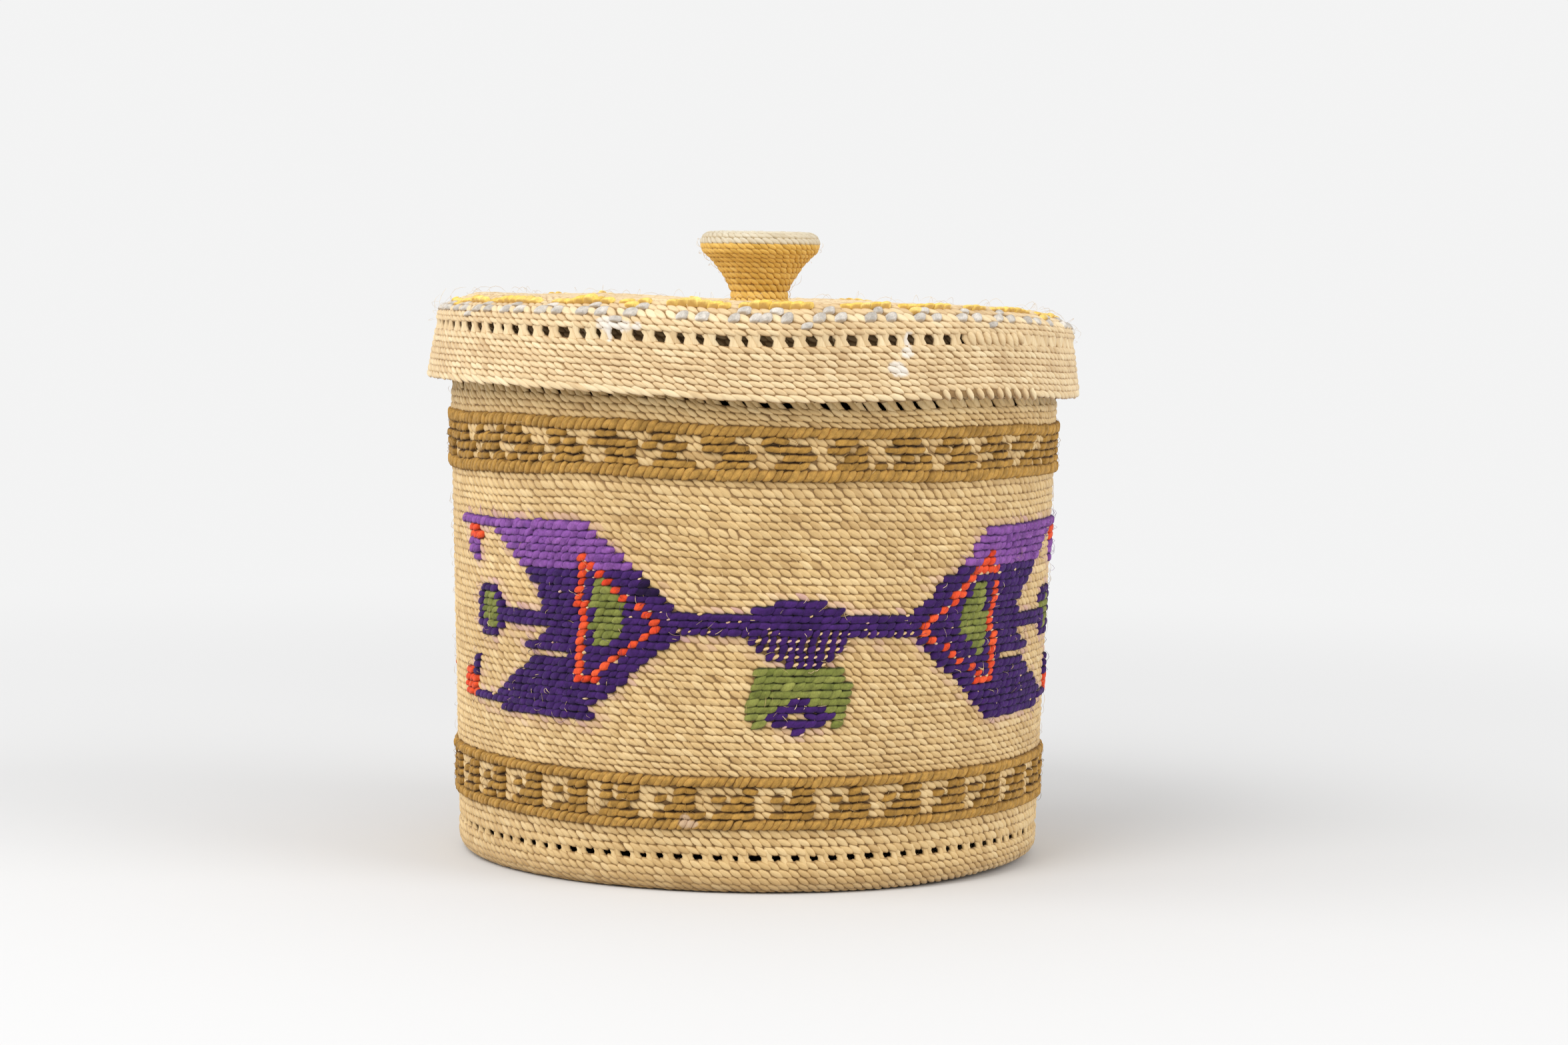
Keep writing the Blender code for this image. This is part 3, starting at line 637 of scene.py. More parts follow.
# The motif, drawn in stitches out from its middle and courses up the field. Both hands share their outlines,
# apart from the triangles
WAIST = 12.0
BAR_ROW = 19.7
BAR_HALF = 1.5
VIOLET_ROW = 27.2
OVAL_CENTRE = (36.7, BAR_ROW)
OVAL_HALF = (2.5, 3.6)
OVAL_HOLE_HALF = (1.4, 2.5)
ARROW = [
    (WAIST, BAR_ROW + BAR_HALF), (17.7, VIOLET_ROW), (31.7, VIOLET_ROW), (26.6, 20.8), (36.0, 20.5),
    (36.0, 18.7), (26.4, 18.7), (30.5, 15.4), (24.2, 15.4), (24.2, 14.4), (28.9, 14.4),
    (35.6, 8.4), (40.0, 8.4), (40.0, 7.1), (30.8, 6.9), (22.0, 6.4), (22.0, 7.8), (WAIST, BAR_ROW - BAR_HALF),
]
VIOLET_WING = [(17.7, VIOLET_ROW), (22.5, 32.6), (43.0, 32.1), (43.0, 31.0), (35.4, 31.0), (31.7, VIOLET_ROW)]
LEFT_WING_EDGE = [(16.9, 26.4), (17.7, VIOLET_ROW), (31.7, VIOLET_ROW), (31.0, 26.4)]
VIOLET_POINT = [(39.4, 26.4), (40.4, 26.4), (41.0, 29.2), (39.0, 29.2)]
UPPER_TIP = [(38.8, 31.2), (41.4, 31.2), (41.4, 29.0), (38.8, 29.0)]
LOWER_TIP_CENTRE, LOWER_TIP_HALF = (41.6, 9.3), (1.5, 2.4)
BLACK_POINT = [(39.2, 11.0), (40.4, 10.4), (40.4, 13.4), (39.4, 13.4)]
ORANGE_BACK = 22.8
TRIANGLES = {
    "left_": {
        "top": 28.2, "bottom": 11.2, "point": (14.4, 19.3),
        "green": [
            (21.4, 25.4), (20.4, 25.2), (18.1, 21.7), (17.8, 18.4), (18.9, 17.6), (20.0, 16.3), (21.6, 15.6)],
    },
    "right_": {
        "top": 29.0, "bottom": 10.9, "point": (13.1, 19.0),
        "green": [
            (21.5, 15.5), (21.5, 25.0), (20.6, 26.0), (19.8, 24.0), (18.4, 21.6), (17.3, 19.3), (18.6, 18.0),
            (20.4, 15.8)],
    },
}
MEDALLION_TOP = [
    (-1.0, 23.2), (2.8, 23.2), (2.8, 22.2), (4.7, 22.2), (4.7, BAR_ROW + BAR_HALF),
    (WAIST, BAR_ROW + BAR_HALF), (WAIST, BAR_ROW - BAR_HALF), (-1.0, BAR_ROW - BAR_HALF),
]
MEDALLION_FOOT = [
    (-1.0, 14.6), (2.0, 14.6), (2.0, 15.4), (3.6, 15.4), (3.6, 16.2), (4.6, 16.2), (5.4, BAR_ROW - BAR_HALF),
    (-1.0, BAR_ROW - BAR_HALF),
]
GREEN_PANEL = [(-1.0, 9.8), (0.0, 10.7), (3.8, 6.7), (4.9, 6.7), (4.9, 14.3), (-1.0, 14.3)]
DIAMOND = [(-1.0, 5.3), (0.0, 5.3), (3.4, 7.9), (0.0, 10.7), (-1.0, 10.7)]
DIAMOND_GAP = [(-1.0, 7.6), (0.9, 7.6), (0.9, 8.6), (-1.0, 8.6)]


def inside(outline, across, row):
    """Whether each place lies inside an outline, by the edges that a line to its left crosses."""
    found = np.zeros(across.shape, bool)
    for (x0, y0), (x1, y1) in zip(outline, outline[1:] + outline[:1]):
        if y0 != y1:
            crossed = x0 + (row - y0) * (x1 - x0) / (y1 - y0)
            found ^= ((y0 > row) != (y1 > row)) & (across < crossed)
    return found


def in_oval(centre, half, across, row):
    return ((across - centre[0]) / half[0]) ** 2 + ((row - centre[1]) / half[1]) ** 2 < 1


def frame_lines(shape, out, row):
    """The orange sides of a triangle: its back, and the slant to its point, one stitch wide in each row."""
    top, bottom, (reach, middle) = shape["top"], shape["bottom"], shape["point"]
    share = np.where(row > middle, (row - middle) / (top - middle), (middle - row) / (middle - bottom))
    slant = reach + np.maximum(share, 0) * (ORANGE_BACK - reach)
    between = (row > bottom) & (row < top)
    last = (row > bottom) & (row < bottom + 1.0) & (out < ORANGE_BACK) & (out > ORANGE_BACK - 2.2)
    return between & ((np.abs(out - ORANGE_BACK) < 0.52) | (np.abs(out - slant) < 0.52)) | last


def motif_areas(across, row):
    """The name of the area that each stitch of the field belongs to, empty where the weft is bare."""
    out = np.abs(across)
    names = np.full(across.shape, "", dtype="U40")
    sides = np.where(across < 0, "left_", "right_")
    rules = [
        (inside(ARROW, out, row) | in_oval(OVAL_CENTRE, OVAL_HALF, out, row), sides, "purple_arrow"),
        (inside(BLACK_POINT, out, row), sides, "purple_arrow"),
        (inside(VIOLET_WING, out, row) | inside(VIOLET_POINT, out, row), sides, "violet_wing"),
        (inside(LEFT_WING_EDGE, -across, row), sides, "violet_wing"),
        (in_oval(LOWER_TIP_CENTRE, LOWER_TIP_HALF, out, row), sides, "lower_tip"),
        (inside(UPPER_TIP, out, row), sides, "upper_tip"),
        (in_oval(OVAL_CENTRE, OVAL_HOLE_HALF, out, row), sides, "green_oval"),
    ]
    for hand, shape in TRIANGLES.items():
        here = across < 0 if hand == "left_" else across > 0
        rules.append((here & inside(shape["green"], out, row), hand, "green_triangle"))
        rules.append((here & frame_lines(shape, out, row), hand, "orange_triangle"))
    rules += [
        (inside(MEDALLION_TOP, out, row) | inside(MEDALLION_FOOT, out, row), "", "purple_medallion"),
        (inside(GREEN_PANEL, out, row), "", "green_panel"),
        (inside(DIAMOND, out, row), "", "purple_diamond"),
        (inside(DIAMOND_GAP, out, row), "", ""),
    ]
    for found, hand, name in rules:
        names = np.where(found, np.char.add(hand, name), names)
    return names


AREA_YARNS = {  # by the end of the area's name
    "diamond": IN_PURPLE, "panel": IN_GREEN, "medallion": IN_PURPLE, "orange_triangle": IN_ORANGE,
    "green_triangle": IN_GREEN, "oval": IN_GREEN, "tip": IN_ORANGE, "wing": IN_VIOLET, "arrow": IN_PURPLE,
}

# Body: base and heel
BASE_LOW = 0.0002  # so that no stitch reaches below the foot
HEEL_ROUND, HEEL_RISE = 0.0028, 0.0032
BASE_EDGE, INNER_EDGE = 0.004, 0.0008  # from the heel's foot in to the flat of the base, outside and inside
BASE_NODES = ("base_start", "base_courses")
heel_foot = foot_radius - HEEL_ROUND
heel_curve = [
    (heel_foot + HEEL_ROUND * math.sin(angle), BASE_LOW + HEEL_RISE * (1 - math.cos(angle)))
    for angle in np.linspace(0, math.pi / 2, 7)
]
base_top = heights("base_start")[1]
outside = [(START_RADIUS, BASE_LOW), (heel_foot - BASE_EDGE, BASE_LOW), *heel_curve, (foot_radius, heel_top)]
inside_line = [
    (foot_radius - THICK, heel_top), (foot_radius - THICK, HEEL_RISE),
    (heel_foot - INNER_EDGE, base_top), (START_RADIUS, base_top),
]
core("base_core", outside, inside_line, *BASKET_CORE, *BASE_NODES, "heel_courses")
lay_many("base_weft", SMALL_GRAIN, courses(outside[:3]), *ON_BASKET, *BASE_NODES)
lay_many("heel_weft", GRAIN, courses(outside[2:], stitches=STITCHES), *ON_BASKET, "heel_courses")
lay_many("base_inside_weft", INSIDE_GRAIN, courses(inside_line), *ON_BASKET, *BASE_NODES, "heel_courses")


# Body: wall
def band_bounds(bottom, top):
    return [*np.linspace(bottom + LINE_HEIGHT, top - LINE_HEIGHT, BAND_ROWS - 1), top]


field_heights = np.linspace(*FIELD_HEIGHTS, FIELD_ROWS)
field_heights *= 1 + vary(FIELD_SPREAD, field_heights)
row_bounds = np.array([
    *np.linspace(wall_low, band_low[0], PLAIN_ROWS + 1), *band_bounds(*band_low),
    *(band_low[1] + np.cumsum(field_heights) / field_heights.sum() * (band_high[0] - band_low[1])),
    *band_bounds(*band_high), *np.linspace(band_high[1], wall_high, PLAIN_ROWS + 1)[1:],
]) - wall_low
wall_line = upright(wall_low, wall_high)
wall_spots = courses(wall_line, row_bounds, STITCHES, WALL_UNEVEN)
row_of = np.repeat(np.arange(len(row_bounds) - 1), STITCHES)
across = (wall_spots["azimuth"] / STITCH_TURN - MOTIF_CENTRE) % STITCHES
place = np.where((across > MOTIF_REPEAT / 2) & (across < MOTIF_REPEAT * 1.5), "back_", "front_")
across = (across + MOTIF_REPEAT / 2) % MOTIF_REPEAT - MOTIF_REPEAT / 2
field_row = (wall_spots["z"] - band_low[1]) / ROW
first_band, second_band = PLAIN_ROWS, PLAIN_ROWS + BAND_ROWS + FIELD_ROWS
in_field = (row_of >= first_band + BAND_ROWS) & (row_of < second_band)
areas = np.where(in_field, motif_areas(across, field_row), "")
areas = np.where(areas == "", "", np.char.add(place, areas))


def named(word):
    """Which stitches of the wall lie in an area with this word in its name."""
    return np.char.find(areas, word) >= 0


# The grass beside purple and violet yarn has taken up some of their dye, most often little
DYE_BESIDE, DYE_NEAR, DYE_POWER = 0.55, 0.22, 2.2
dyed = (named("purple") | named("violet")).reshape(-1, STITCHES)
beside = np.roll(dyed, 1, 1) | np.roll(dyed, -1, 1) | np.roll(dyed, -1, 0) | np.roll(dyed, 1, 0)
near = beside | np.roll(beside, 1, 1) | np.roll(beside, -1, 1) | np.roll(beside, -1, 0)
dye = np.where(beside, DYE_BESIDE, np.where(near, DYE_NEAR, 0.0)).ravel()
wall_spots["dye"] = dye * random.random(len(wall_spots)) ** DYE_POWER

# Charts of one repeat of six stitches in the four check rows, from the top, B for brown yarn
LOWER_CHART = ("....BB", "..B.BB", "...BBB", "..BBBB")
UPPER_CHART = ("..BB..", ".BBBB.", "...BBB", "..BBBB")
REPEAT, CHART_SHIFT = 6, 0.4


def band_yarn(start, chart, slips):
    """Which stitches of a band's check rows are brown, by their chart and a share of slips."""
    brown = np.zeros(len(wall_spots), bool)
    column = np.floor(wall_spots["azimuth"] / STITCH_TURN - CHART_SHIFT).astype(int) % REPEAT
    slipped = random.random(len(wall_spots)) < slips
    for number, marks in enumerate(reversed(chart), 1):
        marked = np.array([mark == "B" for mark in marks])
        brown |= (row_of == start + number) & (marked[column] ^ slipped)
    return brown


YARN_SPREADS = (0.10, 0.2, 0.08, 0.05)  # of its thickness, tone, spin and height
LINE_PALE = 0.3  # how much paler the raised lines are


def as_yarn(spots, thick=YARN_THICK):
    """Strands of yarn in the place of stitches of grass."""
    made = spots.copy()
    thicker, tone, spin, taller = (vary(spread, made) for spread in YARN_SPREADS)
    made["thick"] = thick * (1 + thicker)
    made["sunk"] = YARN_SUNK
    made["tone"] = np.clip(0.5 + tone, 0.1, 1)
    made["spin"] += spin
    made["tall"] *= 1 + taller
    return made


def line_strands(row, height):
    """The raised line of brown yarn in a course, in finer turns than the stitches."""
    bottom, top = row_bounds[row] + wall_low, row_bounds[row + 1] + wall_low
    strands = as_yarn(courses(upright(bottom, top), 1, LINE_STRANDS), LINE_THICK)
    strands["tall"] *= height
    strands["tone"] = np.clip(strands["tone"] + LINE_PALE, 0, 1)
    return strands


# For each band its brown stitches, its first course and how tall its lines are
bands = {
    "lower": (band_yarn(first_band, LOWER_CHART, 0.02), first_band, 0.96),
    "upper": (band_yarn(second_band, UPPER_CHART, 0.12), second_band, 1.12),
}
natural = areas == ""
for brown, start, height in bands.values():
    natural &= ~brown & ~np.isin(row_of, (start, start + BAND_ROWS - 1))
wall_back = back(wall_line, THICK)
core("wall_core", wall_line, wall_back, *BASKET_CORE, "wall_courses")
lay_many("wall_weft", GRAIN, wall_spots[natural], *ON_BASKET, "wall_courses")
lay_many("wall_inside_weft", INSIDE_GRAIN, courses(wall_back, stitches=STITCHES), *ON_BASKET, "wall_courses")
for name, (brown, start, height) in bands.items():
    node = f"{name}_brown_band"
    checks = as_yarn(wall_spots[brown], CHECK_THICK)
    checks["tall"] *= CHECK_TALL
    lay_many(f"{name}_brown_yarn", STRAND, checks, *IN_BROWN, node)
    strands = np.concatenate((line_strands(start, height), line_strands(start + BAND_ROWS - 1, height)))
    lay_many(f"{name}_brown_lines", LINE, strands, *IN_BROWN_LINE, node)

# Bare weft shows between narrower strands in the medallion's foot and the bar's last course, and here and
# there beside other yarn. The chances are those of the foot, the last course, the rest of the bar, the orange
# lines and the rest of the purple
SHOWN_CHANCES = (1.0, 0.5, 0.16, 0.5, 0.05)
ORANGE_DOT, NARROW_DOT, OTHER_DOT = 0.60, 0.52, 0.44  # size of what shows, as a share of a stitch
FOOT_DOT_THICK, DOT_THICK = 0.0007, 0.0005
DOT_SHIFT = 0.42  # of a course, up or down
DOT_SPREADS = (0.07, 0.16)  # of its place in the stitch and of its size
MIDDLE_HALF = WAIST + 4  # half the width of the medallion with its bar, in stitches
NARROW_WIDE, NARROW_SPIN = 0.66, 0.25
ORANGE_WIDE, ORANGE_THICK = 0.84, 1.12
purple, orange = named("purple"), named("orange_triangle")
front_middle = purple & (np.abs(across) < MIDDLE_HALF)
under_bar = field_row < BAR_ROW - BAR_HALF
foot = front_middle & under_bar & named("medallion")
last_bar = front_middle & ~under_bar & (field_row < BAR_ROW - BAR_HALF + 1.05)
bar = front_middle & ~under_bar & ~last_bar & (field_row < BAR_ROW + BAR_HALF)
chance = np.select([foot, last_bar, bar, orange, purple], SHOWN_CHANCES, 0.0)
shown = random.random(len(areas)) < chance
narrow = shown & (foot | last_bar)
dots = wall_spots[shown].copy()
dots["azimuth"] += STITCH_TURN * vary(DOT_SPREADS[0], dots, 0.5)
dots["z"] += np.where(narrow[shown], 0.0, random.choice((-DOT_SHIFT, DOT_SHIFT), len(dots))) * dots["tall"]
size = np.where(orange[shown], ORANGE_DOT, np.where(narrow[shown], NARROW_DOT, OTHER_DOT))
size *= 1 + vary(DOT_SPREADS[1], dots)
dots["wide"] *= size
dots["tall"] *= size
dots["thick"] = np.where(foot[shown], FOOT_DOT_THICK, DOT_THICK)
dots["sunk"] = 0.0
dots["tone"] = np.clip(dots["tone"] + 0.1, 0, 1)
lay("weft_between_yarn", DOT, dots, *ON_BASKET, "wall_courses")

# The yarn of each figure. Some of the darker strands of the left arrow are nearly black, between two stitches
# and up to so many courses from a row
BLACK_ACROSS, BLACK_ROW, BLACK_HALF = (-16.5, -13.6), 24.6, 1.7
BLACK_UNDER, BLACK_TONE = 0.62, 0.02
for area in sorted(set(areas) - {""}):
    look = next(look for end, look in AREA_YARNS.items() if area.endswith(end))
    here = areas == area
    strands = as_yarn(wall_spots[here])
    strands["wide"][narrow[here]] *= NARROW_WIDE
    strands["spin"][narrow[here]] += NARROW_SPIN
    black = (across[here] > BLACK_ACROSS[0]) & (across[here] < BLACK_ACROSS[1])
    black &= (np.abs(field_row[here] - BLACK_ROW) < BLACK_HALF) & (strands["tone"] < BLACK_UNDER)
    strands["tone"][black] = BLACK_TONE
    if area.endswith("orange_triangle"):
        strands["wide"] *= ORANGE_WIDE
        strands["thick"] *= ORANGE_THICK
    lay(f"{area}_yarn", STRAND, strands, *look, area)


# Loose fibres, of three sides
HAIR_STEPS, HAIR_SIDES = 5, 3
HAIR_ASKEW = (0.31, 0.22, 0.93)  # a direction that no fibre takes
HAIR_BEND = 0.9  # spread of a fibre's turn from end to end, in radians
HAIR_ARC, HAIR_TAPER = (0.08, 0.84), (0.12, 0.76)  # start and length of the half waves of its lift and width
HAIR_END = (HAIR_STEPS - 1) * HAIR_SIDES
HAIR_FACES = flatten([[0, 2, 1], *(
    [step + corner, step + (corner + 1) % 3, step + (corner + 1) % 3 + 3, step + corner + 3]
    for step in range(0, HAIR_END, HAIR_SIDES) for corner in range(HAIR_SIDES)
), [HAIR_END, HAIR_END + 1, HAIR_END + 2]])


def hairs(name, starts, length, thick, lift, *look):
    """Curved fibres that leave the surface at their starts and come back to it."""
    count = len(starts)
    heading = random.random(count) * TURN
    bend = vary(HAIR_BEND, starts)
    reach = length * (0.5 + random.random(count))
    height = lift * (0.4 + random.random(count))
    steps = np.linspace(0, 1, HAIR_STEPS)[None]
    turning = heading[:, None] + bend[:, None] * steps
    x = np.cumsum(np.cos(turning), 1) * (reach / HAIR_STEPS)[:, None]
    y = np.cumsum(np.sin(turning), 1) * (reach / HAIR_STEPS)[:, None]
    out = np.sin(math.pi * (HAIR_ARC[0] + HAIR_ARC[1] * steps)) * height[:, None]
    line = on_surface(starts[:, None], x, y, out)
    ahead = np.gradient(line, axis=1)
    ahead /= np.linalg.norm(ahead, axis=-1, keepdims=True)
    side = np.cross(ahead, HAIR_ASKEW)
    side /= np.linalg.norm(side, axis=-1, keepdims=True)
    other = np.cross(ahead, side)
    taper = np.sin(math.pi * (HAIR_TAPER[0] + HAIR_TAPER[1] * steps))[..., None]
    width = thick * (0.75 + 0.5 * random.random((count, 1, 1))) * taper
    rings = [
        line + (side * math.cos(angle) + other * math.sin(angle)) * width
        for angle in np.arange(HAIR_SIDES) * TURN / HAIR_SIDES
    ]
    points = np.stack(rings, 2).reshape(count, -1, 3)
    around = np.tile(np.linspace(0, 1, HAIR_SIDES), HAIR_STEPS)
    spread = np.stack((around, np.repeat(steps[0], HAIR_SIDES)), -1)
    strand = np.broadcast_to(spread * (0.2, length * 1000), (*points.shape[:2], 2))
    values = {"tone": random.random(count)[:, None], "edge": 0.0}
    join_copies(name, points, HAIR_FACES, 0.06 + 0.88 * spread, strand, values, *look)


def some(spots, count):
    """A number of the spots, each moved within its stitch."""
    chosen = spots[random.integers(0, len(spots), count)].copy()
    chosen["azimuth"] += vary(0.5, chosen) * chosen["wide"] / chosen["radius"]
    chosen["radius"] += 0.0001
    chosen["z"] += vary(0.4, chosen) * chosen["tall"] * np.cos(chosen["slope"])
    return chosen


for name, (brown, _, _) in bands.items():
    starts = some(wall_spots[brown], 520)
    hairs(f"{name}_brown_fibres", starts, 0.0024, 0.00004, 0.0008, *IN_BROWN, f"{name}_brown_band")
for end, look, count in (("wing", IN_VIOLET, 110), ("arrow", IN_PURPLE, 160)):
    for area in sorted({area for area in areas if area.endswith(end)}):
        starts = some(wall_spots[areas == area], count)
        hairs(f"{area}_fibres", starts, 0.0026, 0.00004, 0.0010, *look, area)
starts = some(wall_spots[purple & named("front")], 70)
hairs("pale_fibres", starts, 0.0019, 0.00006, 0.0008, LID_STRAW, "basket", "straw", "wall_courses")
hairs("wall_fibres", some(wall_spots, 900), 0.0030, 0.00003, 0.0006, *ON_BASKET, "wall_courses")

# Rim
BRAID_ROUND, BRAID_STITCHES = 0.0004, 132
rim_low, rim_high = heights("rim_courses", RIM_OVERHANG)
rim_line = [(rim_radius, rim_low), (rim_radius, rim_high)]
rim_back = back(rim_line, THICK)
core("rim_core", rim_line, rim_back, *BASKET_CORE, "rim_courses")
# the rim's outer weft, in its material of painted shade
lay_many("rim_weft", SMALL_GRAIN, courses(rim_line, stitches=STITCHES), RIM_STRAW_IN_PAINTED_SHADE, "basket", "straw",
         "rim_courses")
lay_many("rim_inside_weft", INSIDE_GRAIN, courses(rim_back, stitches=STITCHES), *ON_BASKET, "rim_courses")
braid_top, rim_inner = heights("rim_braid")[1], rim_radius - THICK
braid_line = [
    (rim_radius, rim_high), (rim_radius, braid_top - BRAID_ROUND), (rim_radius - BRAID_ROUND, braid_top),
    (rim_inner + BRAID_ROUND, braid_top), (rim_inner, braid_top - BRAID_ROUND), (rim_inner, rim_high),
]
core("rim_braid_core", braid_line[:3], braid_line[3:], *BASKET_CORE, "rim_braid")
lay_many("rim_braid_weft", GRAIN, courses(braid_line, 3, BRAID_STITCHES), *ON_BASKET, "rim_braid")

# Lid
SHOULDER_REACH, SHOULDER_DROP = 0.0100, 0.0062
TOP_THICK = 0.0012
TOP_RINGS = 12
EDGE_STITCHES = 150
SKIRT_ROWS = 7
lid_top = heights("lid_top_courses")[1]
edge_low, edge_high = heights("lid_edge_braid")
edge_radius, lid_radius = round_radius("lid_edge_braid"), round_radius("lid_shoulder_courses")
open_low, open_high = heights("lid_openwork")
shoulder_low = heights("lid_shoulder_courses", SHOULDER_OVERHANG)[0]


def shoulder_line(depth, steps=9):
    """The rounded shoulder from its upright foot to the flat top, at a depth under the outside."""
    reach, drop = SHOULDER_REACH - depth, SHOULDER_DROP - depth
    middle, bottom = lid_radius - SHOULDER_REACH, lid_top - SHOULDER_DROP
    return [(lid_radius - depth, shoulder_low)] + [
        (middle + reach * math.cos(angle), bottom + drop * math.sin(angle))
        for angle in np.linspace(0, math.pi / 2, steps)
    ]


def top_rings(start, end, z):
    return [(radius, z) for radius in np.linspace(start, end, TOP_RINGS)]


def front_turn(azimuth):
    """Degrees from the front, from -180 to 180."""
    return (np.degrees(azimuth) + 180) % 360 - 180


shoulder_out, shoulder_in = shoulder_line(0.0), shoulder_line(TOP_THICK)[::-1]
top_line = top_rings(shoulder_out[-1][0], START_RADIUS, lid_top)
under_line = top_rings(START_RADIUS, shoulder_in[0][0], lid_top - TOP_THICK) + shoulder_in[1:]
edge_line = [(edge_radius, edge_low), (edge_radius, edge_high)]
skirt_line = [(edge_radius, edge_high), (lid_radius, open_low + 0.0001)]
skirt_out = edge_line[:1] + skirt_line
skirt_back = back(skirt_out, THICK)
TOP_NODES = ("lid_start", "lid_top_courses")
SKIRT_NODES = ("lid_skirt_courses", "lid_edge_braid")
core("lid_top_core", shoulder_out + top_line[1:], under_line, *LID_CORE, *TOP_NODES, "lid_shoulder_courses")
core("lid_skirt_core", skirt_out, skirt_back, *LID_CORE, *SKIRT_NODES)
edge_spots = courses(edge_line, 1, EDGE_STITCHES)
edge_turn = front_turn(edge_spots["azimuth"])
# The edge is stretched on the left of the front and curled on its right: the turns between which it is, what
# its stitches' width and thickness are multiplied by, and how much further they spin
EDGE_CHANGES = ((-65, -18, 1.3, 0.85, -0.10), (32, 57, 0.66, 1.6, -0.55))
for start, end, wide, thick, spin in EDGE_CHANGES:
    here = (edge_turn > start) & (edge_turn < end)
    edge_spots["wide"][here] *= wide
    edge_spots["thick"][here] *= thick
    edge_spots["spin"][here] += spin
lay_many("lid_edge_weft", GRAIN, edge_spots, *ON_LID, "lid_edge_braid")
lay_many("lid_skirt_weft", GRAIN, courses(skirt_line, SKIRT_ROWS, STITCHES), *ON_LID, "lid_skirt_courses")
inner = courses(skirt_back, SKIRT_ROWS, STITCHES)
lay_many("lid_skirt_inside_weft", INSIDE_GRAIN, inner, *ON_LID, *SKIRT_NODES)

# The shoulder, with the courses of grey and yellow yarn in it
SHOULDER_BOUNDS = np.array((0, 1.3, 2.7, 4.8, 6.5, 8.1, 9.6, 11.1, 12.5, 13.8))
GREY_ROW, YELLOW_ROW = 2, 4
GREY_WIDE, GREY_LEFT_OUT = 0.88, 0.12  # width in stitches, and the share of strands that are missing
YELLOW_SWELL, YELLOW_THIN = 0.26, 0.5  # how much it swells in waves, and how much thinner it is at the sides
shoulder_rows = len(SHOULDER_BOUNDS) - 1
shoulder_spots = courses(shoulder_out, SHOULDER_BOUNDS, STITCHES)
shoulder_row = np.repeat(np.arange(shoulder_rows), STITCHES)
stitch = np.tile(np.arange(STITCHES), shoulder_rows)
# The grey takes two stitches of each five, the one between them in the course above, and a few below
grey = (shoulder_row == GREY_ROW) & np.isin(stitch % 5, (0, 2))
grey |= (shoulder_row == GREY_ROW + 1) & (stitch % 5 == 1)
grey |= (shoulder_row == GREY_ROW - 1) & (stitch % 20 == 4)
grey &= random.random(len(grey)) > GREY_LEFT_OUT
# The yellow runs a few stitches, leaves one or two bare, and now and then strays into the course below
runs = np.cumsum(random.integers(4, 10, 40))
bare = np.concatenate((runs, runs[::2] + 1, runs[::5] + 2))
yellow = (shoulder_row == YELLOW_ROW) & ~np.isin(stitch, bare)
yellow |= (shoulder_row == YELLOW_ROW - 1) & np.isin(stitch, runs[1::3] + 2)
grey &= ~yellow
lay_many("lid_shoulder_weft", GRAIN, shoulder_spots[~grey & ~yellow], *ON_LID, "lid_shoulder_courses")
strands = as_yarn(shoulder_spots[grey], GREY_THICK)
strands["wide"] *= GREY_WIDE
lay_many("lid_grey_yarn", STRAND, strands, GREY, "lid", "grey_yarn", "lid_grey_course")
strands = as_yarn(shoulder_spots[yellow], YELLOW_THICK)
turn = strands["azimuth"]
waves = np.sin(turn * 21) + 0.6 * np.sin(turn * 34 + 1)
strands["thick"] *= (1 + YELLOW_SWELL * waves) * (1 - YELLOW_THIN * np.sin(turn) ** 6)
lay_many("lid_yellow_yarn", STRAND, strands, YELLOW, "lid", "yellow_yarn", "lid_yellow_course")
lay_many("lid_top_weft", TOP_GRAIN, courses(top_line), *ON_LID, *TOP_NODES)
lay_many("lid_under_weft", INSIDE_GRAIN, courses(under_line), *ON_LID, *TOP_NODES, "lid_shoulder_courses")

# Openwork. Some openings are drawn together: the turns between which they are, and the share of their full
# width that the strands have there
LID_CLOSED = ((38, 54, 1.25), (54, 95, 1.05))
UPPER_CLOSED = ((-95, -58, 0.98), (-58, -12, 0.90), (31, 95, 1.0))
LEG_OVERLAP = 0.0016  # how much longer the strands are than the openwork is high
LEG_DEPTH, LEG_SUNK = 0.0009, 0.0007
LEG_APART, LEG_WIDE = 0.25, 0.62  # a strand's distance from the pair's middle and its width, in pair widths
LEG_TWIST, LEG_CROSSING = 2.2, 0.0002  # the strands' twist in radians, and how far one lies behind the other


